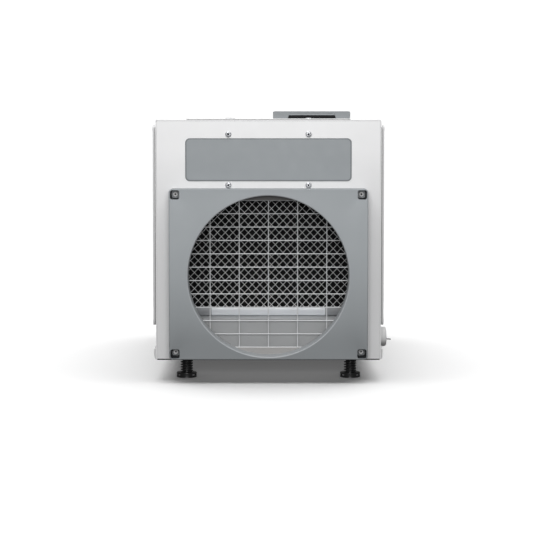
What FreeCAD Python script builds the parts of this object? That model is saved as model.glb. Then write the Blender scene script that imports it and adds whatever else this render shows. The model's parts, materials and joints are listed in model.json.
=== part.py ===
"""Ducted dehumidifier: a sheet-steel cabinet on four levelling feet, with a refrigeration circuit and a fan.

Air enters through the square collar at the front (-Y), passes the filter, the cold coil, the warm coil and
the fan, and leaves through the round collar at the rear (+Y). Units are millimetres, +Z is up, the floor is
z = 0, and the origin is the centre of the footprint. The cabinet's own centre plane stands centre_shift to
the left of the origin, because the drain fitting reaches out on the right.
"""
import FreeCAD, Part
import math
import os
import re

import Sketcher

V = FreeCAD.Vector
X_AXIS = V(1, 0, 0)
Y_AXIS = V(0, 1, 0)
Z_AXIS = V(0, 0, 1)

SIZES = {
    # cabinet
    "half_width": 180, "half_length": 320, "pan_base": 34, "cabinet_top": 418, "sheet_gauge": 1.5,
    "centre_shift": 7.95, "pan_height": 17, "pan_overhang": 3.2, "pan_corner": 6, "panel_gap": 0.3,
    "cover_proud": 6.1, "cover_low": 86.5, "cover_high": 409.7, "cover_reach": 290,
    # square inlet collar and the opening behind it
    "collar_half": 157.2, "collar_low": 38.8, "collar_high": 309.1, "collar_depth": 36,
    "collar_wall": 3, "collar_corner": 5, "inlet_radius": 127.9, "inlet_height": 170.8,
    "well_wall": 2, "well_size": 14.4, "well_corner": 3.5,
    "opening_half": 140, "opening_low": 54.2, "opening_high": 289.9,
    # name plate
    "plate_half": 132.6, "plate_low": 320.3, "plate_high": 388.8, "plate_thick": 0.8, "plate_corner": 7,
    # top plate and control
    "top_half": 130.7, "top_thick": 2, "top_front": -316, "top_rear": 60,
    "control_left": 7.5, "control_right": 130.9, "control_front": -300, "control_rear": -228,
    "control_thick": 11.5, "control_wall": 2, "notch_left": 31.4, "notch_right": 107.6,
    "notch_tall": 4.6, "notch_deep": 6, "button_radius": 5.5, "button_gap": 0.3, "button_rise": 0.4,
    "button_first": 34, "button_second": 52, "button_third": 106, "button_y": -252,
    "window_left": 62, "window_right": 96, "window_reach": 11, "board_thick": 1.6,
    # grille
    "wire_radius": 1.0, "grille_rows": 12, "grille_columns": 7,
    # filter and its channels
    "filter_half": 140, "filter_front": -250, "filter_thick": 24, "filter_low": 100, "filter_high": 329,
    "mesh_step_x": 12.6, "mesh_step_z": 13.1, "mesh_wire": 0.8,
    "channel_half": 150, "channel_lip": 12,
    # drain pan and fitting
    "ledge_front": -298, "ledge_height": 97, "drain_rear": -92, "drain_floor": 46, "drain_y": -230,
    "drain_z": 61.6, "drain_cap": 16.2, "drain_cap_length": 10.7, "drain_stub": 9.8, "drain_bore": 6.5,
    "drain_reach": 202, "drain_pin": 1.1, "drain_pin_drop": 4.6,
    # coils
    "coil_half": 138, "coil_low": 100, "coil_high": 338, "coil_depth": 38, "cold_front": -212,
    "warm_front": -150, "fin_pitch": 4, "fin_thick": 0.5, "tube_radius": 4.8,
    # fan
    "fan_height": 205, "fan_wall": 110, "fan_radius": 96, "fan_inlet": 72, "fan_depth": 58,
    "shaft_radius": 6, "shaft_gap": 0.05, "motor_radius": 48, "motor_gap": 4, "motor_length": 58,
    "blade_inner": 40, "blade_thick": 1.5, "shroud_thick": 1.6, "back_thick": 2, "hub_radius": 16,
    "hub_length": 22, "wheel_gap": 16, "bracket_half": 177.5, "bracket_rise": 14, "bracket_thick": 4,
    # outlet
    "outlet_radius": 101, "outlet_wall": 2, "outlet_depth": 36, "outlet_flange": 118,
    "flap_radius": 96.5, "flap_thick": 1.6, "flap_y": 338, "pivot_rise": 20, "pivot_radius": 2.5,
    # feet
    "foot_x": 133, "foot_y": 270, "thread_radius": 10.2, "thread_root": 7.1, "thread_pitch": 4.1,
    "pad_radius": 16.4, "pad_height": 8.4, "pad_hub": 13, "pad_flange": 2.9, "stud_top": 62,
    # compressor
    "comp_x": -82, "comp_y": -5, "comp_radius": 62, "comp_low": 56, "comp_high": 236, "comp_dome": 24,
    "comp_foot_reach": 74, "comp_foot_radius": 17, "comp_foot_rise": 6, "comp_foot_thick": 3,
    "grommet_radius": 11, "bolt_radius": 3, "bolt_gap": 0.2,
    # refrigerant lines and what stands in them
    "line_radius": 4, "accumulator_x": 14, "accumulator_y": 0, "accumulator_radius": 24,
    "accumulator_low": 92, "accumulator_high": 222, "drier_x": 120, "drier_y": 20, "drier_radius": 11,
    "drier_low": 120, "drier_high": 200, "valve_y": -61, "valve_half": 11, "valve_low": 236,
    "valve_high": 262, "hot_line_height": 300,
    # walls and foam inside
    "wall_half": 178, "coil_wall_y": -92, "coil_window_half": 132, "foam_low": 404, "foam_high": 416,
    # electrical
    "elec_half": 118, "elec_rear": -262, "elec_low": 304, "elec_high": 408,
    "gland_x": -128, "gland_z": 372, "gland_sleeve": 8.9, "gland_flange": 13, "gland_bore": 4.2,
    # screws
    "screw_radius": 5, "screw_rise": 2.6, "screw_shank": 2, "screw_across": 63.9,
    "panel_screw_low": 314.2, "panel_screw_high": 395.3, "cover_screw_inset": 6.5,
    "cover_screw_rise": 1.2, "cover_screw_well": 1.3,
}

os.makedirs("parts", exist_ok=True)
doc = FreeCAD.newDocument("dehumidifier")
sheet = doc.addObject("Spreadsheet::Sheet", "Sizes")
for row, (alias, value) in enumerate(SIZES.items(), start=1):
    sheet.set(f"A{row}", alias)
    sheet.set(f"B{row}", str(value))
    sheet.setAlias(f"B{row}", alias)
doc.recompute()

nodes = []


def size(alias):
    """The value of one cell of the sheet."""
    return float(sheet.get(alias))


def bind(thing, prop, formula):
    """Bind a property to a formula in which every alias of the sheet stands by its own name."""
    thing.setExpression(prop, re.sub(r"[a-z]+(?:_[a-z]+)+", lambda word: "Sizes." + word.group(0), formula))


def node(thing, label):
    """Name a finished sub-part, so that it is checked and written."""
    thing.Label = label
    nodes.append(thing)
    return thing


def box(name, across, along, up):
    """A block between pairs of formulas: across is X, along is Y, up is Z."""
    block = doc.addObject("Part::Box", name)
    bind(block, "Length", f"({across[1]}) - ({across[0]})")
    bind(block, "Width", f"({along[1]}) - ({along[0]})")
    bind(block, "Height", f"({up[1]}) - ({up[0]})")
    bind(block, "Placement.Base.x", f"({across[0]}) - centre_shift")
    bind(block, "Placement.Base.y", along[0])
    bind(block, "Placement.Base.z", up[0])
    return block


TURNS = {"x": FreeCAD.Rotation(Y_AXIS, 90), "y": FreeCAD.Rotation(X_AXIS, -90), "z": FreeCAD.Rotation()}


def cylinder(name, axis, radius, length, place):
    """A round bar that starts at place and runs along +X, +Y or +Z."""
    bar = doc.addObject("Part::Cylinder", name)
    bar.Placement = FreeCAD.Placement(V(), TURNS[axis])
    bind(bar, "Radius", radius)
    bind(bar, "Height", length)
    bind(bar, "Placement.Base.x", f"({place[0]}) - centre_shift")
    bind(bar, "Placement.Base.y", place[1])
    bind(bar, "Placement.Base.z", place[2])
    return bar


def fuse(name, pieces):
    whole = doc.addObject("Part::MultiFuse", name)
    whole.Shapes = pieces
    return whole


def cut(name, base, tools):
    """Take one tool, or several fused ones, away from base."""
    left = doc.addObject("Part::Cut", name)
    left.Base = base
    left.Tool = tools[0] if len(tools) == 1 else fuse(name + "_tools", tools)
    return left


def rounded(name, base, radius, choose):
    """Fillet the edges of base that choose(edge) picks."""
    doc.recompute()
    smooth = doc.addObject("Part::Fillet", name)
    smooth.Base = base
    picked = [i for i, edge in enumerate(base.Shape.Edges, start=1) if choose(edge)]
    smooth.Edges = [(i, radius, radius) for i in picked]
    return smooth


def feature(name, shape):
    """A sub-part whose shape comes straight from Part's functions, in the cabinet's own frame."""
    piece = doc.addObject("Part::Feature", name)
    piece.Shape = shape
    shift = FreeCAD.Placement(V(-size("centre_shift"), 0, 0), FreeCAD.Rotation())
    piece.Placement = shift.multiply(shape.Placement)
    return piece


def bar_shape(radius, start, end):
    """A round bar between two points, as a plain shape."""
    along = end - start
    return Part.makeCylinder(radius, along.Length, start, along)


def block_shape(low, high):
    """A block between two corners, as a plain shape."""
    return Part.makeBox(high.x - low.x, high.y - low.y, high.z - low.z, low)


def line_along(edge, axis):
    """True where the edge is straight and runs along the axis."""
    if not isinstance(edge.Curve, Part.Line):
        return False
    return abs(abs(edge.Curve.Direction.dot(axis)) - 1) < 1e-6


def sketch_on(body, name, plane):
    """A sketch on one of the body's own origin planes."""
    drawing = body.newObject("Sketcher::SketchObject", name)
    base = next(f for f in body.Origin.OriginFeatures if f.Role == plane)
    drawing.AttachmentSupport = [(base, "")]
    drawing.MapMode = "FlatFace"
    return drawing


def draw_rectangle(drawing, formulas):
    """A rectangle given by the formulas of its left, right, low and high sides."""
    corners = [V(-10, -10, 0), V(10, -10, 0), V(10, 10, 0), V(-10, 10, 0)]
    first = drawing.GeometryCount
    for i in range(4):
        drawing.addGeometry(Part.LineSegment(corners[i], corners[(i + 1) % 4]), False)
    for i in range(4):
        drawing.addConstraint(Sketcher.Constraint("Coincident", first + i, 2, first + (i + 1) % 4, 1))
    for i, way in enumerate(("Horizontal", "Vertical", "Horizontal", "Vertical")):
        drawing.addConstraint(Sketcher.Constraint(way, first + i))
    places = (("DistanceX", 0, -10), ("DistanceX", 2, 10), ("DistanceY", 0, -10), ("DistanceY", 2, 10))
    for (kind, line, value), formula in zip(places, formulas):
        number = drawing.addConstraint(Sketcher.Constraint(kind, -1, 1, first + line, 1, value))
        bind(drawing, f"Constraints[{number}]", formula)


def draw_circle(drawing, radius, across, up):
    """A circle given by the formulas of its radius and centre."""
    ring = drawing.addGeometry(Part.Circle(V(5, 5, 0), V(0, 0, 1), 3), False)
    number = drawing.addConstraint(Sketcher.Constraint("Radius", ring, 3))
    bind(drawing, f"Constraints[{number}]", radius)
    for kind, formula in (("DistanceX", across), ("DistanceY", up)):
        number = drawing.addConstraint(Sketcher.Constraint(kind, -1, 1, ring, 3, 5))
        bind(drawing, f"Constraints[{number}]", formula)


def upright_body(name, face):
    """A body whose XZ plane lies at y = face and which is shifted with the cabinet."""
    body = doc.addObject("PartDesign::Body", name)
    bind(body, "Placement.Base.x", "-centre_shift")
    bind(body, "Placement.Base.y", face)
    return body


def pad(body, drawing, length, towards_front=False):
    """Pad a sketch of the XZ plane: its normal points to -Y, the front."""
    grown = body.newObject("PartDesign::Pad", drawing.Name + "_pad")
    grown.Profile = drawing
    bind(grown, "Length", length)
    grown.Reversed = not towards_front
    return grown


def pocket(body, drawing, length, towards_front=False):
    """Cut a sketch of the XZ plane away, towards the rear unless told otherwise."""
    taken = body.newObject("PartDesign::Pocket", drawing.Name + "_pocket")
    taken.Profile = drawing
    bind(taken, "Length", length)
    taken.Reversed = towards_front
    return taken


# ---- cabinet ------------------------------------------------------------------------------------------

def build_base_pan():
    """Folded tray with rounded corners, holes for the feet and bolts, and slots for the wrapper's edges."""
    side = "half_width + pan_overhang"
    end = "half_length - sheet_gauge - panel_gap"
    outer = box("pan_outer", (f"-({side})", side), (f"-({end})", end), ("pan_base", "pan_base + pan_height"))
    corner = size("pan_corner")
    base = size("pan_base")

    def lower_corner(edge):
        low = edge.BoundBox.ZMin < base + 0.1
        return (low and line_along(edge, Y_AXIS)) or line_along(edge, Z_AXIS)

    soft = rounded("pan_soft", outer, corner, lower_corner)
    inside = f"{end} - sheet_gauge"
    hollow = box("pan_hollow", ("-half_width", "half_width"), (f"-({inside})", inside),
                 ("pan_base + sheet_gauge", "pan_base + pan_height + 1"))
    holes = [box(f"pan_slot_{i}", across, (f"-({end}) - 1", f"{end} + 1"),
                 ("pan_base + sheet_gauge", "pan_base + pan_height + 1"))
             for i, across in enumerate((("-half_width", "-half_width + sheet_gauge + 0.1"),
                                         ("half_width - sheet_gauge - 0.1", "half_width")))]
    for side_name, sign_x in (("left", "-"), ("right", "")):
        for end_name, sign_y in (("front", "-"), ("rear", "")):
            holes.append(cylinder(f"pan_hole_{end_name}_{side_name}", "z", "thread_radius + shaft_gap", "10",
                                  (f"{sign_x}foot_x", f"{sign_y}foot_y", "pan_base - 1")))
    holes.append(cylinder("pan_drain_notch", "x", "drain_stub + 0.6", "12",
                          ("half_width - 4", "drain_y", "drain_z")))
    holes += [cylinder(f"pan_bolt_hole_{i}", "z", "bolt_radius + bolt_gap", "10",
                       (f"{x}", f"{y}", "pan_base - 1"))
              for i, (x, y) in enumerate(compressor_feet())]
    node(cut("base_pan_cut", soft, [hollow] + holes), "base_pan")


def compressor_feet():
    """Centres of the three rubber feet under the compressor."""
    reach = size("comp_foot_reach")
    turns = [math.radians(angle) for angle in (-35, 85, 205)]
    return [(round(size("comp_x") + reach * math.cos(t), 2), round(size("comp_y") + reach * math.sin(t), 2))
            for t in turns]


def build_wrapper():
    """One sheet folded over both sides and the top, with a service window in each side and a hatch on top."""
    outer = box("wrap_outer", ("-half_width", "half_width"), ("-half_length", "half_length"),
                ("pan_base + sheet_gauge + panel_gap", "cabinet_top"))
    top = size("cabinet_top")
    soft = rounded("wrap_soft", outer, 2.4,
                   lambda edge: edge.BoundBox.ZMin > top - 0.1 and line_along(edge, Y_AXIS))
    inner = box("wrap_inner", ("-half_width + sheet_gauge", "half_width - sheet_gauge"),
                ("-half_length - 1", "half_length + 1"), ("0", "cabinet_top - sheet_gauge"))
    window = box("wrap_window", ("-half_width - 1", "half_width + 1"),
                 ("-cover_reach + 18", "cover_reach - 18"),
                 ("cover_low + 18", "cover_high - 18"))
    hatch = box("wrap_hatch", ("-top_half + 14", "top_half - 14"), ("top_front + 24", "top_rear - 20"),
                ("cabinet_top - 5", "cabinet_top + 5"))
    drain = cylinder("wrap_drain_hole", "x", "drain_stub + 1", "20",
                     ("half_width - 10", "drain_y", "drain_z"))
    node(cut("wrapper_cut", soft, [inner, window, hatch, drain]), "cabinet_wrapper")


def build_front_panel():
    """Flat sheet between the wrapper's edges, with the inlet's square opening and its screw holes."""
    body = upright_body("front_panel_body", "-half_length + sheet_gauge")
    inset = "half_width - sheet_gauge - panel_gap"
    low = "pan_base + 0.6"
    outline = sketch_on(body, "front_outline", "XZ_Plane")
    draw_rectangle(outline, (f"-({inset})", inset, low, "cabinet_top - sheet_gauge - panel_gap"))
    pad(body, outline, "sheet_gauge", towards_front=True)
    opening = sketch_on(body, "front_opening", "XZ_Plane")
    draw_rectangle(opening, ("-opening_half", "opening_half", "opening_low", "opening_high"))
    pocket(body, opening, "sheet_gauge + 1", towards_front=True)
    holes = sketch_on(body, "front_screw_holes", "XZ_Plane")
    for x, z in panel_screws() + collar_screw_places():
        draw_circle(holes, "screw_shank", f"{x}", f"{z}")
    pocket(body, holes, "sheet_gauge + 1", towards_front=True)
    node(body, "front_panel")


def panel_screws():
    """Centres of the four pan-head screws around the name plate."""
    across = size("screw_across")
    return [(x, z) for x in (-across, across) for z in (size("panel_screw_low"), size("panel_screw_high"))]


def collar_screw_places():
    """Centres of the screws in the collar's four corner wells."""
    inset = size("well_wall") + size("well_size") / 2
    reach = size("collar_half") - inset
    return [(x, z) for x in (-reach, reach)
            for z in (size("collar_low") + inset, size("collar_high") - inset)]


def build_rear_panel():
    """Flat sheet with a round hole for the outlet and a small one for the power gland."""
    body = upright_body("rear_panel_body", "half_length - sheet_gauge")
    inset = "half_width - sheet_gauge - panel_gap"
    outline = sketch_on(body, "rear_outline", "XZ_Plane")
    draw_rectangle(outline, (f"-({inset})", inset, "pan_base + 0.6", "cabinet_top - sheet_gauge - panel_gap"))
    pad(body, outline, "sheet_gauge")
    opening = sketch_on(body, "rear_openings", "XZ_Plane")
    draw_circle(opening, "outlet_radius - outlet_wall", "0", "fan_height")
    draw_circle(opening, "gland_sleeve + 0.1", "gland_x", "gland_z")
    pocket(body, opening, "sheet_gauge + 1")
    node(body, "rear_panel")


def build_top_plate():
    """Service plate over the hatch, with a slot under the control for its wires."""
    plate = box("top_plate_block", ("-top_half", "top_half"), ("top_front", "top_rear"),
                ("cabinet_top", "cabinet_top + top_thick"))
    soft = rounded("top_plate_soft", plate, 6, lambda edge: line_along(edge, Z_AXIS))
    slot = box("top_plate_slot", ("control_left + 30", "control_right - 30"), ("-275", "-252"),
               ("cabinet_top - 1", "cabinet_top + top_thick + 1"))
    holes = [cylinder(f"top_plate_hole_{i}", "z", "screw_shank", "10", (f"{x}", f"{y}", "cabinet_top - 3"))
             for i, (x, y) in enumerate(top_screw_places())]
    node(cut("top_plate_cut", soft, [slot] + holes), "top_cover_plate")


def top_screw_places():
    """Centres of the screws that hold the top plate."""
    across = size("screw_across")
    return [(x, y) for x in (-across, across) for y in (size("top_front") + 7, size("top_rear") - 10)]


def cover_screw_places():
    """Lengthwise places and heights of the screws of one side cover."""
    inset = size("cover_screw_inset")
    reach = size("cover_reach") - inset
    return [(y, z) for y in (-reach, 0, reach) for z in (size("cover_low") + inset,
                                                         size("cover_high") - inset)]


def build_side_cover(side, sign):
    """Pressed cover over the service window of one side, hollow behind its raised face."""
    inner_face = "half_width" if sign > 0 else "-half_width - cover_proud"
    outer = box(f"{side}_cover_block", (inner_face, f"{inner_face} + cover_proud"),
                ("-cover_reach", "cover_reach"), ("cover_low", "cover_high"))
    face = size("half_width") + size("cover_proud")

    def outer_edge(edge):
        middle = edge.CenterOfMass
        flat = abs(abs(middle.x + size("centre_shift")) - face) < 0.05
        return flat or line_along(edge, X_AXIS)

    soft = rounded(f"{side}_cover_soft", outer, 2.2, outer_edge)
    behind = ("half_width - 1", "half_width + cover_proud - sheet_gauge")
    if sign < 0:
        behind = ("-half_width - cover_proud + sheet_gauge", "-half_width + 1")
    hollow = box(f"{side}_cover_hollow", behind, ("-cover_reach + 14", "cover_reach - 14"),
                 ("cover_low + 14", "cover_high - 14"))
    start = "half_width - 2" if sign > 0 else "-half_width - 12"
    well = "half_width + cover_proud - cover_screw_well"
    well_start = well if sign > 0 else f"-({well}) - 5"
    holes = []
    for i, (y, z) in enumerate(cover_screw_places()):
        holes.append(cylinder(f"{side}_cover_hole_{i}", "x", "screw_shank", "14", (start, f"{y}", f"{z}")))
        holes.append(cylinder(f"{side}_cover_well_{i}", "x", "screw_radius + 0.4", "5",
                              (well_start, f"{y}", f"{z}")))
    node(cut(f"{side}_cover_cut", soft, [hollow] + holes), f"side_cover_{side}")


# ---- inlet --------------------------------------------------------------------------------------------

def build_inlet_collar():
    """A hollow moulding: a frame round a short tube, open at the back, with a screw well in each corner."""
    outer = box("collar_block", ("-collar_half", "collar_half"),
                ("-half_length - collar_depth", "-half_length"),
                ("collar_low", "collar_high"))
    body = rounded("collar_body", outer, size("collar_corner"), lambda edge: line_along(edge, Y_AXIS))
    bore = cylinder("collar_bore", "y", "inlet_radius", "collar_depth + 2",
                    ("0", "-half_length - collar_depth - 1", "inlet_height"))
    inner = "collar_half - well_wall - well_size"
    rim = "collar_half - well_wall"
    low = ("collar_low + well_wall", "collar_low + well_wall + well_size")
    high = ("collar_high - well_wall - well_size", "collar_high - well_wall")
    wells = []
    keep = [cylinder("cavity_ring", "y", "inlet_radius + collar_wall", "collar_depth + 4",
                     ("0", "-half_length - collar_depth - 1", "inlet_height"))]
    for side, across in (("left", (f"-({rim})", f"-({inner})")), ("right", (inner, rim))):
        for level, up in (("low", low), ("high", high)):
            well = box(f"collar_well_{side}_{level}", across,
                       ("-half_length - collar_depth - 1", "-half_length - 4"), up)
            wells.append(rounded(f"collar_well_soft_{side}_{level}", well, size("well_corner"),
                                 lambda edge: line_along(edge, Y_AXIS)))
            keep.append(box(f"cavity_keep_{side}_{level}",
                            (f"{across[0]} - collar_wall", f"{across[1]} + collar_wall"),
                            ("-half_length - collar_depth", "-half_length + 2"),
                            (f"{up[0]} - collar_wall", f"{up[1]} + collar_wall")))
    solid = cut("collar_solid", body, [bore] + wells)
    front = -size("half_length") - size("collar_depth")

    def front_edge(edge):
        return abs(edge.BoundBox.YMin - front) < 0.01 and abs(edge.BoundBox.YMax - front) < 0.01

    soft = rounded("collar_rim", solid, 0.8, front_edge)
    cavity_outer = box("cavity_block", ("-collar_half + collar_wall", "collar_half - collar_wall"),
                       ("-half_length - collar_depth + collar_wall", "-half_length + 1"),
                       ("collar_low + collar_wall", "collar_high - collar_wall"))
    cavity = cut("cavity_cut", cavity_outer, keep)
    holes = [cylinder(f"collar_screw_hole_{i}", "y", "screw_shank", "12",
                      (f"{x}", "-half_length - 8", f"{z}"))
             for i, (x, z) in enumerate(collar_screw_places())]
    node(cut("collar_cut", soft, [cavity] + holes), "inlet_collar")


def build_name_plate():
    """Thin blank plate with rounded corners on the front panel."""
    body = upright_body("name_plate_body", "-half_length")
    outline = sketch_on(body, "name_outline", "XZ_Plane")
    draw_rectangle(outline, ("-plate_half", "plate_half", "plate_low", "plate_high"))
    base = pad(body, outline, "plate_thick", towards_front=True)
    doc.recompute()
    edges = [f"Edge{i}" for i, edge in enumerate(base.Shape.Edges, start=1) if line_along(edge, Y_AXIS)]
    corners = body.newObject("PartDesign::Fillet", "name_corners")
    corners.Base = (base, edges)
    bind(corners, "Radius", "plate_corner")
    body.Tip = corners
    node(body, "name_plate")


def build_grille():
    """Rows of wire behind the opening with columns touching them from behind."""
    radius = size("wire_radius")
    low = size("opening_low")
    high = size("opening_high")
    half = size("opening_half")
    rows = int(size("grille_rows"))
    columns = int(size("grille_columns"))
    row_y = -size("half_length") + size("sheet_gauge") + radius + 0.2
    column_y = row_y + 2 * radius
    wires = []
    for i in range(rows):
        z = low + (high - low) * i / (rows - 1)
        wires.append(bar_shape(radius, V(-half - 8, row_y, z), V(half + 8, row_y, z)))
    for i in range(columns):
        x = -half + 2 * half * i / (columns - 1)
        wires.append(bar_shape(radius, V(x, column_y, low - 6), V(x, column_y, high + 6)))
    node(feature("grille_wires", Part.makeCompound(wires)), "inlet_grille")


def build_filter():
    """Frame of folded card, zigzag media and a diamond mesh of two crossing layers of wire."""
    front = "filter_front"
    rear = "filter_front + filter_thick"
    outer = box("filter_outer", ("-filter_half", "filter_half"), (front, rear), ("filter_low", "filter_high"))
    inner = box("filter_inner", ("-filter_half + 4", "filter_half - 4"), (f"{front} - 1", f"{rear} + 1"),
                ("filter_low + 4", "filter_high - 4"))
    node(cut("filter_frame_cut", outer, [inner]), "filter_frame")

    half = size("filter_half") - 4
    low = size("filter_low") + 4
    high = size("filter_high") - 4
    y_front = size("filter_front") + 3
    thick = 1.6
    y_rear = size("filter_front") + size("filter_thick") - 3 - thick
    pleats = 34
    step = 2 * half / pleats
    panels = []
    for i in range(pleats):
        near, far = (y_rear, y_front) if i % 2 == 0 else (y_front, y_rear)
        left = -half + step * i
        ring = [V(left, near, low), V(left + step, far, low), V(left + step, far + thick, low),
                V(left, near + thick, low)]
        panels.append(Part.Face(Part.makePolygon(ring + [ring[0]])).extrude(V(0, 0, high - low)))
    node(feature("filter_pleats", Part.makeCompound(panels)), "filter_media")

    wire = size("mesh_wire")
    slope = size("mesh_step_z") / size("mesh_step_x")
    half -= wire
    low += wire
    high -= wire
    run = (high - low) / slope
    layers = []
    for lean, y in ((1, y_front - 2 * wire - 0.3), (-1, y_front - wire - 0.3)):
        first = -half - run
        count = int((2 * half + run) / size("mesh_step_x"))
        for i in range(count + 1):
            x = first + size("mesh_step_x") * i
            start = V(x, y, low) if lean > 0 else V(x, y, high)
            layers.append(mesh_strand(start, lean, slope, half, low, high, wire))
    strands = [strand for strand in layers if strand is not None]
    node(feature("filter_strands", Part.makeCompound(strands)), "filter_mesh")


def mesh_strand(start, lean, slope, half, low, high, wire):
    """One slanting strand of square wire, kept inside the frame."""
    end_z = high if lean > 0 else low
    end = V(start.x + (high - low) / slope, start.y, end_z)
    run = end - start
    from_t = max(0.0, (-half - start.x) / run.x)
    to_t = min(1.0, (half - start.x) / run.x)
    if (to_t - from_t) * run.Length < 3 * wire:
        return None
    first = start + run * from_t
    last = start + run * to_t
    across = V(-run.z, 0, run.x).normalize() * (wire / 2)
    ring = [first - across, last - across, last + across, first + across]
    return Part.Face(Part.makePolygon(ring + [ring[0]])).extrude(V(0, wire, 0))


def build_filter_channels():
    """Two channels of folded sheet that hold the filter at its lower and upper edges."""
    depth = ("filter_front - sheet_gauge - 0.5", "filter_front + filter_thick + sheet_gauge + 0.5")
    across = ("-channel_half", "channel_half")
    slot = ("filter_front - 0.5", "filter_front + filter_thick + 0.5")
    for label, low, high, gap in (
            ("filter_channel_lower", "filter_low - sheet_gauge - 0.2", "filter_low + channel_lip",
             ("filter_low - 0.2", "filter_low + 50")),
            ("filter_channel_upper", "filter_high - channel_lip", "filter_high + sheet_gauge + 0.2",
             ("filter_high - 50", "filter_high + 0.2"))):
        outer = box(label + "_block", across, depth, (low, high))
        inner = box(label + "_slot", ("-channel_half - 1", "channel_half + 1"), slot, gap)
        node(cut(label + "_cut", outer, [inner]), label)


# ---- water and cold -----------------------------------------------------------------------------------

def build_drain_pan():
    """A tray under the coils whose front is a closed step that carries the filter."""
    outer = box("drain_block", ("-channel_half", "half_width - sheet_gauge - 2"),
                ("ledge_front", "drain_rear"),
                ("drain_floor", "ledge_height"))
    soft = rounded("drain_soft", outer, 2, lambda edge: edge.BoundBox.YMax < size("ledge_front") + 0.1)
    tray = box("drain_tray", ("-channel_half + 4", "channel_half - 4"),
               ("filter_front + filter_thick + 6", "drain_rear - 4"), ("ledge_height - 30",
                                                                       "ledge_height + 1"))
    trough = box("drain_trough", ("-channel_half + 4", "channel_half - 4"),
                 ("drain_y - 10", "filter_front + filter_thick + 20"), ("drain_z - 9", "ledge_height - 20"))
    outlet = cylinder("drain_way", "x", "drain_stub + 0.05", "60",
                      ("channel_half - 10", "drain_y", "drain_z"))
    wells = [cylinder(f"drain_foot_well_{i}", "z", "thread_radius + 1.6", "stud_top - drain_floor + 3",
                      (f"{sign}foot_x", "-foot_y", "drain_floor - 1")) for i, sign in enumerate(("-", ""))]
    node(cut("drain_cut", soft, [tray, trough, outlet] + wells), "drain_pan")

    cap_start = "half_width + pan_overhang + 0.1"
    cap = cylinder("fitting_cap", "x", "drain_cap", "drain_cap_length", (cap_start, "drain_y", "drain_z"))
    outer_x = size("half_width") + size("pan_overhang") - size("centre_shift") + size("drain_cap_length")
    cap_soft = rounded("fitting_cap_soft", cap, 2.5,
                       lambda edge: edge.BoundBox.XLength < 0.1 and edge.BoundBox.XMin > outer_x - 1)
    stub = cylinder("fitting_stub", "x", "drain_stub", f"{cap_start} + 2 - channel_half + 2",
                    ("channel_half - 2", "drain_y", "drain_z"))
    pin = cylinder("fitting_pin", "x", "drain_pin", f"drain_reach - ({cap_start}) - 1",
                   (f"{cap_start} + 1", "drain_y", "drain_z - drain_pin_drop"))
    bore = cylinder("fitting_bore", "x", "drain_bore", f"{cap_start} + 4 - channel_half + 6",
                    ("channel_half - 6", "drain_y", "drain_z"))
    node(cut("fitting_cut", fuse("fitting_solid", [cap_soft, stub, pin]), [bore]), "drain_fitting")


def tube_shape(points, radius, bend):
    """A round tube along straight runs joined by tangent arcs."""
    edges = []
    start = points[0]
    for before, corner, after in zip(points, points[1:], points[2:]):
        arrive = (corner - before).normalize()
        leave = (after - corner).normalize()
        turn = arrive.getAngle(leave)
        reach = bend * math.tan(turn / 2)
        first = corner - arrive * reach
        last = corner + leave * reach
        centre_way = (leave - arrive).normalize()
        middle = corner + centre_way * (bend / math.cos(turn / 2) - bend)
        edges.append(Part.LineSegment(start, first).toShape())
        edges.append(Part.Arc(first, middle, last).toShape())
        start = last
    edges.append(Part.LineSegment(start, points[-1]).toShape())
    path = Part.Wire(edges)
    ring = Part.Wire(Part.makeCircle(radius, points[0], points[1] - points[0]))
    return path.makePipeShell([ring], True, True)


def build_coil(name, front):
    """Finned coil: flat fins between end plates, and rows of tube joined by return bends."""
    half = size("coil_half")
    low = size("coil_low")
    high = size("coil_high")
    depth = size("coil_depth")
    pitch = size("fin_pitch")
    count = int(2 * (half - 4) / pitch)
    fins = []
    for i in range(count + 1):
        x = -half + 4 + pitch * i
        fins.append(block_shape(V(x, front, low), V(x + size("fin_thick"), front + depth, high)))
    node(feature(f"{name}_fin_stack", Part.makeCompound(fins)), f"{name}_fins")

    radius = size("tube_radius")
    rows = 10
    step = (high - low) / rows
    y_pair = (front + depth * 0.27, front + depth * 0.73)
    runs = []
    for i in range(rows):
        z = low + step * (i + 0.5)
        for y in y_pair:
            runs.append(bar_shape(radius, V(-half - 6, y, z), V(half + 6, y, z)))
        side = half + 6 if i % 2 else -half - 6
        ends = [V(side, y_pair[0], z), V(side, y_pair[1], z)]
        runs.append(return_bend(ends[0], ends[1], 1 if i % 2 else -1, radius))
    node(feature(f"{name}_tube_rows", Part.makeCompound(runs)), f"{name}_tubes")

    plates = []
    for side in (-half, half - 2):
        plates.append(block_shape(V(side, front - 3, low - 2), V(side + 2, front + depth + 3, high + 2)))
    return plates


def return_bend(first, last, out, radius):
    """Half a ring that joins two neighbouring tubes at the side of the coil."""
    middle = (first + last) * 0.5
    reach = (last - first).Length / 2
    path = Part.Wire(Part.Arc(first, middle + V(out * reach, 0, 0), last).toShape())
    ring = Part.Wire(Part.makeCircle(radius, first, X_AXIS))
    return path.makePipeShell([ring], True, True)


def build_coils():
    plates = build_coil("evaporator", size("cold_front"))
    plates += build_coil("condenser", size("warm_front"))
    node(feature("end_plates", Part.makeCompound(plates)), "coil_end_plates")


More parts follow.
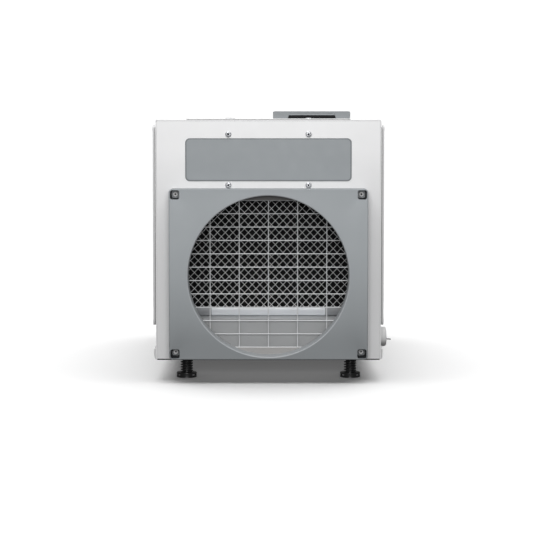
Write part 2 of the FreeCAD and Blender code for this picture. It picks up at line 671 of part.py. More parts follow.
def build_compressor():
    """Domed shell on a plate with three feet, each on a rubber grommet round a bolt."""
    place = ("comp_x", "comp_y")
    shell = cylinder("comp_shell", "z", "comp_radius", "comp_high - comp_low", (*place, "comp_low"))
    domed = rounded("comp_domed", shell, size("comp_dome"), lambda edge: edge.BoundBox.ZLength < 0.1)
    feet = [cylinder(f"comp_foot_{i}", "z", "comp_foot_radius", "comp_foot_thick",
                     (f"{x}", f"{y}", "comp_low + comp_foot_rise"))
            for i, (x, y) in enumerate(compressor_feet())]
    skirt = cylinder("comp_skirt", "z", "comp_radius - 3", "comp_foot_thick",
                     (*place, "comp_low + comp_foot_rise"))
    cap = cylinder("comp_cap", "z", "comp_foot_radius", "16", ("comp_x + 18", "comp_y - 20", "comp_high - 8"))
    holes = [cylinder(f"comp_foot_hole_{i}", "z", "bolt_radius + bolt_gap", "20",
                      (f"{x}", f"{y}", "comp_low"))
             for i, (x, y) in enumerate(compressor_feet())]
    whole = fuse("comp_whole", [domed, skirt, cap] + feet)
    node(cut("comp_cut", whole, holes), "compressor")

    rubbers = []
    bolts = []
    under = size("pan_base")
    floor = under + size("sheet_gauge")
    seat = size("comp_low") + size("comp_foot_rise")
    radius = size("bolt_radius")
    nut_low = seat + size("comp_foot_thick")
    nut_tall = 5
    head_tall = 3.4
    for x, y in compressor_feet():
        ring = Part.makeCylinder(size("grommet_radius"), seat - floor, V(x, y, floor))
        rubbers.append(ring.cut(Part.makeCylinder(radius + 0.3, seat, V(x, y, under))))
        shank = Part.makeCylinder(radius, nut_low + nut_tall + 3 - under, V(x, y, under))
        head = hexagon(V(x, y, under - head_tall), 2 * radius + 0.5, head_tall)
        nut = hexagon(V(x, y, nut_low), 2 * radius, nut_tall)
        bolts.append(shank.fuse([head, nut]).removeSplitter())
    node(feature("comp_grommets", Part.makeCompound(rubbers)), "compressor_grommets")
    node(feature("comp_bolts", Part.makeCompound(bolts)), "compressor_bolts")


def hexagon(centre, reach, tall):
    """A hexagonal head that stands on centre."""
    ring = [centre + V(reach * math.cos(math.radians(60 * i)), reach * math.sin(math.radians(60 * i)), 0)
            for i in range(6)]
    return Part.Face(Part.makePolygon(ring + [ring[0]])).extrude(V(0, 0, tall))


def build_circuit():
    """Accumulator, drier, valve and the copper between the compressor and the coils."""
    acc = V(size("accumulator_x"), size("accumulator_y"), 0)
    acc_low = size("accumulator_low")
    acc_high = size("accumulator_high")
    can = bar_shape(size("accumulator_radius"), acc + V(0, 0, acc_low), acc + V(0, 0, acc_high))
    can = can.makeFillet(14, [edge for edge in can.Edges if edge.BoundBox.ZLength < 0.1])
    floor = size("pan_base") + size("sheet_gauge")
    stand = bar_shape(6, acc + V(0, 0, floor), acc + V(0, 0, acc_low + 1))
    node(feature("accumulator_can", can.fuse(stand).removeSplitter()), "suction_accumulator")

    drier_low = V(size("drier_x"), size("drier_y"), size("drier_low"))
    drier_high = V(size("drier_x"), size("drier_y"), size("drier_high"))
    drier = bar_shape(size("drier_radius"), drier_low, drier_high)
    drier = drier.makeChamfer(5, [edge for edge in drier.Edges if edge.BoundBox.ZLength < 0.1])
    node(feature("drier_can", drier), "filter_drier")

    half = size("valve_half")
    valve_low = V(size("drier_x"), size("valve_y"), size("valve_low"))
    valve_high = V(size("drier_x"), size("valve_y"), size("valve_high"))
    valve = block_shape(valve_low - V(half, half, 0), valve_high + V(half, half, 0))
    dome = bar_shape(half + 2, valve_high, valve_high + V(0, 0, 14))
    node(feature("valve_block", valve.fuse(dome).removeSplitter()), "expansion_valve")

    line = size("line_radius")
    side = size("coil_half") + 10
    warm_y = size("warm_front") + size("coil_depth") * 0.73
    hot_z = size("hot_line_height")
    shell_top = size("comp_high")
    hot_up = V(-96, 22, shell_top - 3)
    hot_side = -side - 14
    hot = [hot_up, V(hot_up.x, hot_up.y, hot_z), V(hot_side, hot_up.y, hot_z), V(hot_side, warm_y, hot_z),
           V(-side + 2, warm_y, hot_z)]
    liquid_z = 112
    liquid = [V(side, warm_y, liquid_z), V(side + 16, warm_y, liquid_z), V(side + 16, drier_low.y, liquid_z),
              V(drier_low.x, drier_low.y, liquid_z - 12), drier_low + V(0, 0, 1)]
    cross_z = 226
    fed = [drier_high - V(0, 0, 1), V(drier_high.x, drier_high.y, cross_z),
           V(valve_low.x, valve_low.y, cross_z),
           valve_low + V(0, 0, 1)]
    suction_z = 262
    suction = [acc + V(0, 0, acc_high - 2), acc + V(0, 0, suction_z), V(-60, 40, suction_z),
               V(-60, 40, shell_top - 5)]
    lines = [tube_shape(hot, line, 9), tube_shape(liquid, line, 7), tube_shape(fed, line, 5),
             tube_shape(suction, line, 10)]
    node(feature("copper_lines", Part.makeCompound(lines)), "refrigerant_lines")


# ---- electrical ---------------------------------------------------------------------------------------

def build_electrical():
    """Folded box behind the name plate and what hangs on its rear wall or stands on its floor."""
    back = "-half_length + sheet_gauge + panel_gap"
    outer = box("elec_block", ("-elec_half", "elec_half"), (back, "elec_rear"), ("elec_low", "elec_high"))
    inner = box("elec_inner", ("-elec_half + sheet_gauge", "elec_half - sheet_gauge"),
                (f"{back} - 1", "elec_rear - sheet_gauge"),
                ("elec_low + sheet_gauge", "elec_high - sheet_gauge"))
    node(cut("elec_cut", outer, [inner]), "electrical_box")
    floor = "elec_low + sheet_gauge + 0.5"
    wall = "elec_rear - sheet_gauge - 0.5"
    node(box("transformer_block", ("-96", "-48"), ("-304", wall), (floor, f"{floor} + 44")), "transformer")
    node(cylinder("capacitor_can", "z", "17", "78", ("-14", "-284", floor)), "run_capacitor")
    strip = box("terminal_base", ("24", "104"), (f"{wall} - 12", wall), ("330", "352"))
    ribs = [box(f"terminal_slot_{i}", (f"{28 + 12.5 * i}", f"{36 + 12.5 * i}"),
                (f"{wall} - 13", f"{wall} - 7"),
                ("334", "348"))
            for i in range(6)]
    node(cut("terminal_cut", strip, ribs), "terminal_block")
    node(box("sensor_case", ("60", "84"), ("-302", "-290"), ("elec_low - 12", "elec_low - 0.5")),
         "humidity_sensor")
    sleeve = cylinder("gland_sleeve", "y", "gland_sleeve", "22", ("gland_x", "half_length - 12", "gland_z"))
    flange = cylinder("gland_flange", "y", "gland_flange", "5", ("gland_x", "half_length + 0.1", "gland_z"))
    way = cylinder("gland_way", "y", "gland_bore", "40", ("gland_x", "half_length - 20", "gland_z"))
    node(cut("gland_cut", fuse("gland_solid", [sleeve, flange]), [way]), "power_gland")


def build_control():
    """Low housing with soft top edges, a notch in its front and a window between its buttons."""
    low = "cabinet_top + top_thick"
    high = "cabinet_top + top_thick + control_thick"
    outer = box("control_block", ("control_left", "control_right"), ("control_front", "control_rear"),
                (low, high))
    top = size("cabinet_top") + size("top_thick") + size("control_thick")
    soft = rounded("control_soft", outer, 2.6, lambda edge: edge.BoundBox.ZMin > top - 0.1)
    hollow = box("control_hollow", ("control_left + control_wall", "control_right - control_wall"),
                 ("control_front + notch_deep + control_wall", "control_rear - control_wall"),
                 (f"{low} - 1", f"{high} - control_wall"))
    notch = box("control_notch", ("notch_left", "notch_right"),
                ("control_front - 1", "control_front + notch_deep"),
                (f"{low} - 1", f"{low} + notch_tall"))
    pane = (("window_left", "window_right"), ("button_y - window_reach", "button_y + window_reach"))
    window = box("control_window_cut", *pane, (f"{high} - 5", f"{high} + 1"))
    buttons = ("button_first", "button_second", "button_third")
    holes = [cylinder(f"control_{place}_hole", "z", "button_radius + button_gap", "10",
                      (place, "button_y", f"{high} - 5")) for place in buttons]
    node(cut("control_cut", soft, [hollow, notch, window] + holes), "control_housing")
    node(box("control_window_block", *pane, (f"{high} - control_wall", f"{high} - 0.3")), "display_window")
    node(box("control_insert_block", ("notch_left + 0.5", "notch_right - 0.5"),
             ("control_front + 2", "control_front + notch_deep"), (low, f"{low} + notch_tall")),
         "control_insert")
    node(box("control_board_block", ("control_left + 4", "control_right - 4"),
             ("control_front + notch_deep + 4", "control_rear - 4"), (f"{low} + 1",
                                                                      f"{low} + 1 + board_thick")),
         "control_board")
    tip = top + size("button_rise")
    for label, place in zip(("button_power", "button_down", "button_up"), buttons):
        cap = cylinder(label + "_cap", "z", "button_radius", "button_rise + control_wall",
                       (place, "button_y", f"{high} - control_wall"))
        node(rounded(label + "_soft", cap, 0.3, lambda edge: abs(edge.BoundBox.ZMin - tip) < 0.05), label)


# ---- fan and outlet -----------------------------------------------------------------------------------

def build_fan():
    """Bulkhead with an inlet ring, a backward-curved wheel on its shaft, and the motor on its bracket."""
    wall_y = size("fan_wall")
    gauge = size("sheet_gauge")
    half = size("wall_half")
    base = size("pan_base") + gauge + 1
    wall = block_shape(V(-half, wall_y, base), V(half, wall_y + gauge, size("foam_low") - 2))
    centre = V(0, wall_y, size("fan_height"))
    mouth = size("fan_inlet")
    wall = wall.cut(Part.makeCylinder(mouth + 4, 10, centre - V(0, 5, 0), Y_AXIS))
    node(feature("fan_wall_sheet", wall), "fan_bulkhead")

    ring_face = centre - V(0, 2.2, 0)
    ring = Part.makeCylinder(mouth + 14, 2, ring_face, Y_AXIS)
    ring = ring.fuse(Part.makeCylinder(mouth + 3.5, 14, ring_face, Y_AXIS))
    ring = ring.cut(Part.makeCylinder(mouth, 40, centre - V(0, 20, 0), Y_AXIS)).removeSplitter()
    node(feature("fan_mouth", ring), "fan_inlet_ring")

    radius = size("fan_radius")
    depth = size("fan_depth")
    front = centre + V(0, size("wheel_gap"), 0)
    rear = front + V(0, depth, 0)
    shaft_radius = size("shaft_radius")
    shroud = Part.makeCylinder(radius, size("shroud_thick"), front, Y_AXIS)
    shroud = shroud.cut(Part.makeCylinder(mouth, 5, front - V(0, 1, 0), Y_AXIS))
    plate = Part.makeCylinder(radius, size("back_thick"), rear - V(0, size("back_thick"), 0), Y_AXIS)
    plate = plate.fuse(Part.makeCylinder(size("hub_radius"), size("hub_length"),
                                         rear - V(0, size("hub_length"), 0),
                                         Y_AXIS))
    plate = plate.cut(Part.makeCylinder(shaft_radius, 2 * depth, front, Y_AXIS)).removeSplitter()
    blades = 9
    wheel = [shroud, plate] + [fan_blade(360 * i / blades, front) for i in range(blades)]
    node(feature("fan_wheel", Part.makeCompound(wheel)), "impeller")
    shaft_front = front + V(0, depth - size("hub_length") - 6, 0)
    shaft = bar_shape(shaft_radius, shaft_front, rear + V(0, size("motor_gap") + 46, 0))
    node(feature("fan_shaft", shaft), "impeller_shaft")

    start = rear + V(0, size("motor_gap"), 0)
    can = Part.makeCylinder(size("motor_radius"), size("motor_length"), start, Y_AXIS)
    can = can.makeFillet(5, [edge for edge in can.Edges if edge.BoundBox.YLength < 0.1])
    way = bar_shape(shaft_radius + size("shaft_gap"), start - V(0, 1, 0), start + V(0, 51, 0))
    node(feature("motor_can", can.cut(way)), "fan_motor")

    back = start + V(0, size("motor_length"), 0)
    reach = size("bracket_half")
    rise = size("bracket_rise")
    thick = size("bracket_thick")
    cross = block_shape(back - V(reach, 0, rise), back + V(reach, thick, rise))
    disc = Part.makeCylinder(size("motor_radius"), thick, back, Y_AXIS)
    feet = [block_shape(back + V(x, -16, -rise), back + V(x + 3, 1, rise)) for x in (-reach, reach - 3)]
    node(feature("motor_cross", cross.fuse([disc] + feet).removeSplitter()), "motor_bracket")


def fan_blade(angle, front):
    """A backward-curved blade that fills the gap between the shroud and the back plate."""
    inner = size("blade_inner")
    outer = size("fan_radius") - 4
    middle = (inner + outer) / 2
    points = [V(inner, 0, 0), V(middle * math.cos(0.30), 0, middle * math.sin(0.30)),
              V(outer * math.cos(0.78), 0, outer * math.sin(0.78))]
    thick = size("blade_thick")
    front_arc = Part.Arc(*points).toShape()
    shifted = [p + V(-thick, 0, thick * 0.6) for p in points]
    back_arc = Part.Arc(*reversed(shifted)).toShape()
    ends = [Part.LineSegment(points[2], shifted[2]).toShape(),
            Part.LineSegment(shifted[0], points[0]).toShape()]
    face = Part.Face(Part.Wire([front_arc, ends[0], back_arc, ends[1]]))
    blade = face.extrude(V(0, size("fan_depth") - size("shroud_thick") - size("back_thick"), 0))
    blade.translate(front + V(0, size("shroud_thick"), 0))
    blade.rotate(front, Y_AXIS, angle)
    return blade


def outlet_screw_places():
    """Centres of the four screws in the outlet collar's flange."""
    around = size("outlet_flange") - 8.5
    turns = [math.radians(45 + 90 * i) for i in range(4)]
    return [(round(around * math.cos(t), 3),
             round(size("fan_height") + around * math.sin(t), 3)) for t in turns]


def build_outlet():
    """Round collar for the outlet duct with a flap damper that hangs on a shaft above its centre."""
    centre = ("0", "half_length", "fan_height")
    pipe = cylinder("outlet_pipe", "y", "outlet_radius", "outlet_depth", centre)
    flange = cylinder("outlet_ring", "y", "outlet_flange", "2.5", centre)
    soft = rounded("outlet_ring_soft", flange, 1, lambda edge: edge.BoundBox.YMin > size("half_length") + 2)
    bore = cylinder("outlet_bore", "y", "outlet_radius - outlet_wall", "outlet_depth + 4",
                    ("0", "half_length - 1", "fan_height"))
    pivot = cylinder("outlet_pivot_way", "x", "pivot_radius + shaft_gap", "2 * outlet_radius + 20",
                     ("-outlet_radius - 10", "flap_y", "fan_height + pivot_rise"))
    holes = [cylinder(f"outlet_hole_{i}", "y", "screw_shank", "12", (f"{x}", "half_length - 1", f"{z}"))
             for i, (x, z) in enumerate(outlet_screw_places())]
    node(cut("outlet_cut", fuse("outlet_solid", [pipe, soft]), [bore, pivot] + holes), "outlet_collar")

    centre_z = size("fan_height")
    pivot_z = centre_z + size("pivot_rise")
    thick = size("flap_thick")
    flap = Part.makeCylinder(size("flap_radius"), thick, V(0, size("flap_y") - thick / 2, centre_z), Y_AXIS)
    sleeve_half = 84
    hem = bar_shape(size("pivot_radius") + 1.6, V(-sleeve_half, size("flap_y"), pivot_z),
                    V(sleeve_half, size("flap_y"), pivot_z))
    way = bar_shape(size("pivot_radius"), V(-110, size("flap_y"), pivot_z), V(110, size("flap_y"), pivot_z))
    node(feature("flap_disc", flap.fuse(hem).cut(way).removeSplitter()), "damper_flap")
    reach = math.sqrt(size("outlet_radius") ** 2 - size("pivot_rise") ** 2) - 0.2
    shaft = bar_shape(size("pivot_radius"), V(-reach, size("flap_y"), pivot_z),
                      V(reach, size("flap_y"), pivot_z))
    node(feature("flap_shaft", shaft), "damper_shaft")


# ---- feet and fasteners -------------------------------------------------------------------------------

def build_foot(label, x, y):
    """A moulded levelling foot: a threaded stud on a pad made of a hub between two thin flanges."""
    root = size("thread_root")
    crest = size("thread_radius")
    pitch = size("thread_pitch")
    pad_top = size("pad_height")
    flange = size("pad_flange")
    outline = [V(0, 0, 0), V(size("pad_radius") - 0.6, 0, 0), V(size("pad_radius"), 0, 0.6),
               V(size("pad_radius"), 0, flange), V(size("pad_hub"), 0, flange),
               V(size("pad_hub"), 0, pad_top - flange), V(size("pad_radius") - 0.5, 0, pad_top - flange),
               V(size("pad_radius") - 0.5, 0, pad_top), V(root, 0, pad_top)]
    z = pad_top
    while z + pitch <= size("stud_top") - 1:
        outline += [V(root, 0, z + 0.15 * pitch), V(crest, 0, z + 0.4 * pitch), V(crest, 0, z + 0.6 * pitch),
                    V(root, 0, z + 0.85 * pitch)]
        z += pitch
    outline += [V(root, 0, size("stud_top")), V(0, 0, size("stud_top"))]
    outline = [p for i, p in enumerate(outline) if i == 0 or (p - outline[i - 1]).Length > 1e-6]
    face = Part.Face(Part.makePolygon(outline + [outline[0]]))
    turned = face.revolve(V(), Z_AXIS, 360)
    turned.translate(V(x, y, 0))
    node(feature(label + "_turned", turned), label)


def build_feet():
    for end, sign_y in (("front", -1), ("rear", 1)):
        for side, sign_x in (("left", -1), ("right", 1)):
            build_foot(f"foot_{end}_{side}", sign_x * size("foot_x"), sign_y * size("foot_y"))


def screw_shape(place, out, shank, rise):
    """A pan-head screw whose head stands out of place along out, with a cross recess."""
    radius = size("screw_radius")
    head = Part.makeCylinder(radius, rise, place, out)
    tip = place + out * rise
    round_edges = [edge for edge in head.Edges if isinstance(edge.Curve, Part.Circle)
                   and (edge.Curve.Center - tip).Length < 0.01]
    head = head.makeFillet(rise * 0.6, round_edges)
    side = out.cross(Z_AXIS if abs(out.z) < 0.5 else X_AXIS)
    other = out.cross(side)
    slots = []
    for along, across in ((side, other), (other, side)):
        corner = tip - out * (rise * 0.45) - along * 2.4 - across * 0.5
        face = Part.Face(Part.makePolygon([corner, corner + along * 4.8, corner + along * 4.8 + across,
                                           corner + across, corner]))
        slots.append(face.extrude(out * 3))
    stem = Part.makeCylinder(size("screw_shank") - 0.05, shank, place, out * -1)
    return head.cut(slots[0].fuse(slots[1])).fuse(stem).removeSplitter()


def build_screws():
    front = -size("half_length")
    rise = size("screw_rise")
    cabinet = [screw_shape(V(x, front, z), V(0, -1, 0), 1.4, rise) for x, z in panel_screws()]
    top = size("cabinet_top") + size("top_thick")
    cabinet += [screw_shape(V(x, y, top), Z_AXIS, 1.9, rise) for x, y in top_screw_places()]
    node(feature("cabinet_screw_set", Part.makeCompound(cabinet)), "cabinet_screws")
    collars = [screw_shape(V(x, front - 4, z), V(0, -1, 0), 5.4, rise) for x, z in collar_screw_places()]
    rear = size("half_length") + 2.5
    collars += [screw_shape(V(x, rear, z), Y_AXIS, 2.4, rise) for x, z in outlet_screw_places()]
    node(feature("collar_screw_set", Part.makeCompound(collars)), "collar_screws")
    reach = size("half_width") + size("cover_proud") - size("cover_screw_well")
    flat = size("cover_screw_rise")
    sides = []
    for sign in (-1, 1):
        sides += [screw_shape(V(sign * reach, y, z), V(sign, 0, 0), 3.1, flat) for y,
                  z in cover_screw_places()]
    node(feature("cover_screw_set", Part.makeCompound(sides)), "side_cover_screws")


def build_bulkheads():
    """Wall round the coils, with a window for them and ways for two lines, and the foam under the top."""
    half = size("wall_half")
    front = size("coil_wall_y")
    rear = front + size("sheet_gauge")
    frame = block_shape(V(-half, front, 98), V(half, rear, size("foam_low") - 1))
    window_half = size("coil_window_half")
    window = block_shape(V(-window_half, front - 8, 104), V(window_half, rear + 10, 334))
    hot_z = size("hot_line_height")
    passes = [block_shape(V(-172, front - 8, hot_z - 10), V(-152, rear + 10, hot_z + 10)),
              block_shape(V(154, front - 8, 102), V(174, rear + 10, 122))]
    node(feature("coil_wall", frame.cut(window.fuse(passes))), "coil_bulkhead")
    node(box("foam_block", ("-wall_half + 1", "wall_half - 1"), ("coil_wall_y + 4", "fan_wall - 2"),
             ("foam_low", "foam_high")), "top_insulation")


def build_all():
    build_base_pan()
    build_wrapper()
    build_front_panel()
    build_rear_panel()
    build_top_plate()
    build_side_cover("left", -1)
    build_side_cover("right", 1)
    build_inlet_collar()
    build_name_plate()
    build_grille()
    build_filter()
    build_filter_channels()
    build_drain_pan()
    build_coils()
    build_compressor()
    build_circuit()
    build_bulkheads()
    build_electrical()
    build_control()
    build_fan()
    build_outlet()
    build_feet()
    build_screws()


def check_and_write():
    doc.recompute()
    faults = [f"{thing.Name} is {thing.State}" for thing in doc.Objects
              if "Invalid" in thing.State or "Error" in thing.State]
    for thing in nodes:
        if thing.Shape.isNull() or not thing.Shape.isValid():
            faults.append(f"{thing.Label} has no valid shape")
    if faults:
        raise RuntimeError("; ".join(faults))
    for thing in nodes:
        thing.Shape.exportStep(f"parts/{thing.Label}.step")
    print(len(nodes), "sub-parts written")


build_all()
check_and_write()
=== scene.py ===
"""Ducted dehumidifier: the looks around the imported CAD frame.

The axes are the CAD's: +Z up, the square inlet collar faces -Y, the drain fitting is at +X. Blender works
in metres. The builders give places in millimetres from the cabinet's centre plane, and at() turns them into
metres. Each group of visible sub-parts has its own function, and each finish its own procedural material.
"""
import json
import math
import random

import bpy
import bmesh
from mathutils import Matrix, Vector


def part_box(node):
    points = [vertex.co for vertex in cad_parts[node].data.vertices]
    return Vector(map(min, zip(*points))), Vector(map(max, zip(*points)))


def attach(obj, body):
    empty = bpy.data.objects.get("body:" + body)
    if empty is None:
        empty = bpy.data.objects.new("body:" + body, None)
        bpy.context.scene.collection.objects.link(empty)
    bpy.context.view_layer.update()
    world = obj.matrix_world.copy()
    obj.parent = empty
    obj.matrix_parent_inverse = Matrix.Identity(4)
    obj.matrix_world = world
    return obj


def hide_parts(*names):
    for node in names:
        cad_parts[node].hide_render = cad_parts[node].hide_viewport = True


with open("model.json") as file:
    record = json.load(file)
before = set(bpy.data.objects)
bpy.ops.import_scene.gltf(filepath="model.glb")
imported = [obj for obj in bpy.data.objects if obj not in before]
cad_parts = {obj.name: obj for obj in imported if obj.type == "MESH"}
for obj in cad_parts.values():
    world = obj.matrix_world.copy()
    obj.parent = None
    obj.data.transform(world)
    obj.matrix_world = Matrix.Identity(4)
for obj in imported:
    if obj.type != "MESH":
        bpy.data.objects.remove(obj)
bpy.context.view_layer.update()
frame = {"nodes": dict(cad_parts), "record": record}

MM = 0.001
panel_low, panel_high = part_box("front_panel")
CENTRE_X = (panel_low[0] + panel_high[0]) / 2
PANEL_Y = panel_low[1]
CABINET_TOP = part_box("cabinet_wrapper")[1][2]

FRONT_WAY = Vector((0, -1, 0))
REAR_WAY = Vector((0, 1, 0))
UP = Vector((0, 0, 1))


# ---- materials -----------------------------------------------------------------------------------------

DRIFT_SCALE = 9.0
GLOSS_SCALE = 60.0
GLOSS_SWING = 0.06
GRAIN_STRENGTH = 0.35
PEEL_STRENGTH = 0.25
PEEL_DEPTH = 0.03 * MM


def new_material(name):
    """A node material, its tree and its shader."""
    mat = bpy.data.materials.new(name)
    mat.use_nodes = True
    tree = mat.node_tree
    return mat, tree, tree.nodes["Principled BSDF"]


def add(tree, kind, **values):
    """A node with its plain properties or input values set."""
    node = tree.nodes.new(kind)
    for key, value in values.items():
        if hasattr(node, key):
            setattr(node, key, value)
        else:
            node.inputs[key].default_value = value
    return node


def coordinates(tree):
    """The object's own coordinates, in metres."""
    return tree.nodes.new("ShaderNodeTexCoord").outputs["Object"]


def noise(tree, vector, scale, detail):
    """Soft noise, from 0 to 1."""
    node = add(tree, "ShaderNodeTexNoise", Scale=scale, Detail=detail)
    tree.links.new(vector, node.inputs["Vector"])
    return node.outputs["Fac"]


def ramp(tree, factor, stops):
    """A ramp through (position, grey level) stops."""
    node = tree.nodes.new("ShaderNodeValToRGB")
    elements = node.color_ramp.elements
    while len(elements) < len(stops):
        elements.new(0.5)
    for element, (position, tone) in zip(elements, stops):
        element.position = position
        element.color = (tone, tone, tone, 1)
    tree.links.new(factor, node.inputs["Fac"])
    return node.outputs["Color"]


def mix(tree, factor, first, second, blend="MIX"):
    """Mix of two colours, each a socket or a plain colour."""
    node = add(tree, "ShaderNodeMix", data_type="RGBA", blend_type=blend)
    for socket, value in ((node.inputs[0], factor), (node.inputs[6], first), (node.inputs[7], second)):
        if isinstance(value, bpy.types.NodeSocket):
            tree.links.new(value, socket)
        elif isinstance(value, tuple):
            socket.default_value = (*value, 1)
        else:
            socket.default_value = value
    return node.outputs[2]


def bump(tree, height, strength, distance, normal=None):
    """A bump from a height, laid over another one if there is one."""
    node = add(tree, "ShaderNodeBump", Strength=strength, Distance=distance)
    tree.links.new(height, node.inputs["Height"])
    if normal is not None:
        tree.links.new(normal, node.inputs["Normal"])
    return node.outputs["Normal"]


def set_range(tree, factor, low, high):
    """The factor, 0 to 1, spread over low to high."""
    node = tree.nodes.new("ShaderNodeMapRange")
    node.inputs["To Min"].default_value = low
    node.inputs["To Max"].default_value = high
    tree.links.new(factor, node.inputs["Value"])
    return node.outputs["Result"]


def surface(name, colour, roughness, metallic=0.0, spread=0.04, grain=900.0, grain_depth=0.02 * MM,
            peel=None, coat=0.0):
    """A finish with slow colour drift, uneven gloss and a fine grain; peel adds an orange-peel bump."""
    mat, tree, shader = new_material(name)
    place = coordinates(tree)
    drift = noise(tree, place, DRIFT_SCALE, 3.0)
    lighter = tuple(min(1.0, c * (1 + spread)) for c in colour)
    darker = tuple(c * (1 - spread) for c in colour)
    tree.links.new(mix(tree, drift, darker, lighter), shader.inputs["Base Color"])
    gloss = noise(tree, place, GLOSS_SCALE, 4.0)
    tree.links.new(set_range(tree, gloss, roughness - GLOSS_SWING, roughness + GLOSS_SWING),
                   shader.inputs["Roughness"])
    shader.inputs["Metallic"].default_value = metallic
    shader.inputs["Coat Weight"].default_value = coat
    normal = bump(tree, noise(tree, place, grain, 2.0), GRAIN_STRENGTH, grain_depth)
    if peel:
        normal = bump(tree, noise(tree, place, peel, 1.0), PEEL_STRENGTH, PEEL_DEPTH, normal)
    tree.links.new(normal, shader.inputs["Normal"])
    return mat


def height_shaded(name, colour, roughness, stops):
    """A finish whose tone is painted darker by height to stand in for shade: stops hold (height in metres,
    share of the colour).
    """
    mat = surface(name, colour, roughness, spread=0.03, grain=2600)
    tree = mat.node_tree
    shader = tree.nodes["Principled BSDF"]
    drift = shader.inputs["Base Color"].links[0].from_socket
    split = tree.nodes.new("ShaderNodeSeparateXYZ")
    tree.links.new(coordinates(tree), split.inputs[0])
    top = stops[-1][0]
    climb = tree.nodes.new("ShaderNodeMapRange")
    climb.inputs["From Max"].default_value = top
    tree.links.new(split.outputs["Z"], climb.inputs["Value"])
    share = ramp(tree, climb.outputs["Result"], [(height / top, level) for height, level in stops])
    tree.links.new(mix(tree, 1.0, drift, share, "MULTIPLY"), shader.inputs["Base Color"])
    return mat


COAT_WHITE = (0.86, 0.86, 0.865)
BLACK_PLASTIC = (0.012, 0.012, 0.013)
ZINC_GREY = (0.66, 0.68, 0.7)

# sheet metal and its coats
WHITE = surface("white_powder_coat", COAT_WHITE, 0.42, spread=0.012, grain=1600, peel=420)
# painted shade: the front panel's white is darker below 0.37 m, most at the collar's mid height, for the
# collar's occlusion and the light's fall-off
FRONT = height_shaded("front_coat_painted_shade", COAT_WHITE, 0.42,
               [(0.05, 0.9), (0.076, 0.92), (0.116, 0.88), (0.17, 0.86), (0.226, 0.86), (0.29, 0.89),
                (0.33, 0.94), (0.37, 1.0), (0.42, 1.0)])
# painted shade: a greyer copy of the white coat, for the shade on the covers' front edges
COVER_HEM = surface("cover_hem", (0.76, 0.76, 0.765), 0.5, spread=0.03, grain=1600)
ZINC = surface("zinc_sheet", ZINC_GREY, 0.35, metallic=1.0, spread=0.08, grain=700)
DUCT = surface("duct_sheet", ZINC_GREY, 0.32, metallic=1.0, spread=0.08, grain=700)
# painted light: a grey lighter than the tray, laid on the ledge where it lies in shade, to show it lit
LEDGE_PAINTED_LIGHT = surface("ledge_painted_light", (0.62, 0.63, 0.64), 0.4, spread=0.04, grain=900)
# painted reflection: a light non-metal grey stands in for the channel's reflection of the bright opening; the
# ends take a darker copy, painted shade
LIP = surface("lip_painted_reflection", (0.72, 0.745, 0.78), 0.3, spread=0.05, grain=500, coat=0.3)
LIP_END = surface("shaded_lip", (0.3, 0.31, 0.325), 0.4, spread=0.05, grain=500)
COPPER = surface("copper_tube", (0.75, 0.38, 0.23), 0.3, metallic=1.0, spread=0.15, grain=900)

# grey mouldings
GREY = surface("grey_moulding", (0.375, 0.402, 0.419), 0.5, spread=0.03, grain=2600)
# painted shade: the collar's grey darkens below 0.22 m down to 0.64 at its foot, and its top face above 309
# mm is painted at 0.55, for how the light falls
COLLAR = height_shaded("collar_painted_shade", (0.365, 0.391, 0.408), 0.5,
                [(0.04, 0.64), (0.07, 0.68), (0.11, 0.82), (0.17, 0.95), (0.22, 1.0), (0.3086, 1.0),
                 (0.309, 0.55), (0.31, 0.55)])
RING = surface("ring_moulding", (0.4, 0.42, 0.435), 0.5, spread=0.03, grain=2600)
# painted shade: the screw wells' walls are near-black instead of the collar's grey, for the shade deep in the
# wells
WELL = surface("well_wall", (0.05, 0.055, 0.065), 0.6, spread=0.05, grain=2600)
TRAY = surface("tray_moulding", (0.37, 0.377, 0.382), 0.55, spread=0.05, grain=1500)
CASE = surface("control_case", (0.225, 0.24, 0.25), 0.5, spread=0.02, grain=2600)
# painted light: a lighter copy of the case's grey, for the light on the brow above the slot
BROW = surface("control_brow_painted_light", (0.27, 0.288, 0.3), 0.5, spread=0.02, grain=2600)
BUTTON = surface("button_cap", (0.16, 0.17, 0.18), 0.5, spread=0.03, grain=2600)
PLATE = surface("plate_overlay", (0.285, 0.307, 0.322), 0.45, spread=0.02, grain=3000)
PLATE_EDGE = surface("plate_border", (0.15, 0.165, 0.175), 0.4, spread=0.02, grain=3000)

# white mouldings
FITTING = surface("white_moulding", (0.9, 0.9, 0.9), 0.35, spread=0.02, grain=1800)
# painted shade: the cap's white darkens below 58 mm, towards its underside
CAP = height_shaded("cap_painted_shade", (0.92, 0.92, 0.92), 0.35,
             [(0.045, 0.35), (0.052, 0.6), (0.058, 1.0), (0.08, 1.0)])

# dark mouldings, rubber and foam
BLACK = surface("black_moulding", BLACK_PLASTIC, 0.42, spread=0.15, grain=2200)
FOOT = surface("foot_moulding", BLACK_PLASTIC, 0.28, spread=0.15, grain=2200)
# painted highlight: mid grey where the glossy black pad would show highlights
PAD_HIGHLIGHT = surface("pad_painted_highlight", (0.3, 0.3, 0.31), 0.3, spread=0.05, grain=2200)
SLOT = surface("slot_shade", (0.004, 0.004, 0.005), 0.9, spread=0.2, grain=2200)
GLASS = surface("window", (0.005, 0.005, 0.006), 0.08, spread=0.1, grain=100)
RUBBER = surface("rubber", (0.02, 0.02, 0.02), 0.7, spread=0.1, grain=1800)
# painted shade: the seal's grey drops to 0.42 of itself from 0.2 m up, for the shade under the collar's top;
# the top plate's shadow line takes this darkened tone
SEAL_SHADE = height_shaded("seal_painted_shade", (0.37, 0.362, 0.355), 0.85, [(0.05, 1.0), (0.2, 0.42), (0.31, 0.42)])
FOAM = surface("foam", (0.03, 0.03, 0.032), 0.95, spread=0.3, grain=500, grain_depth=0.4 * MM)

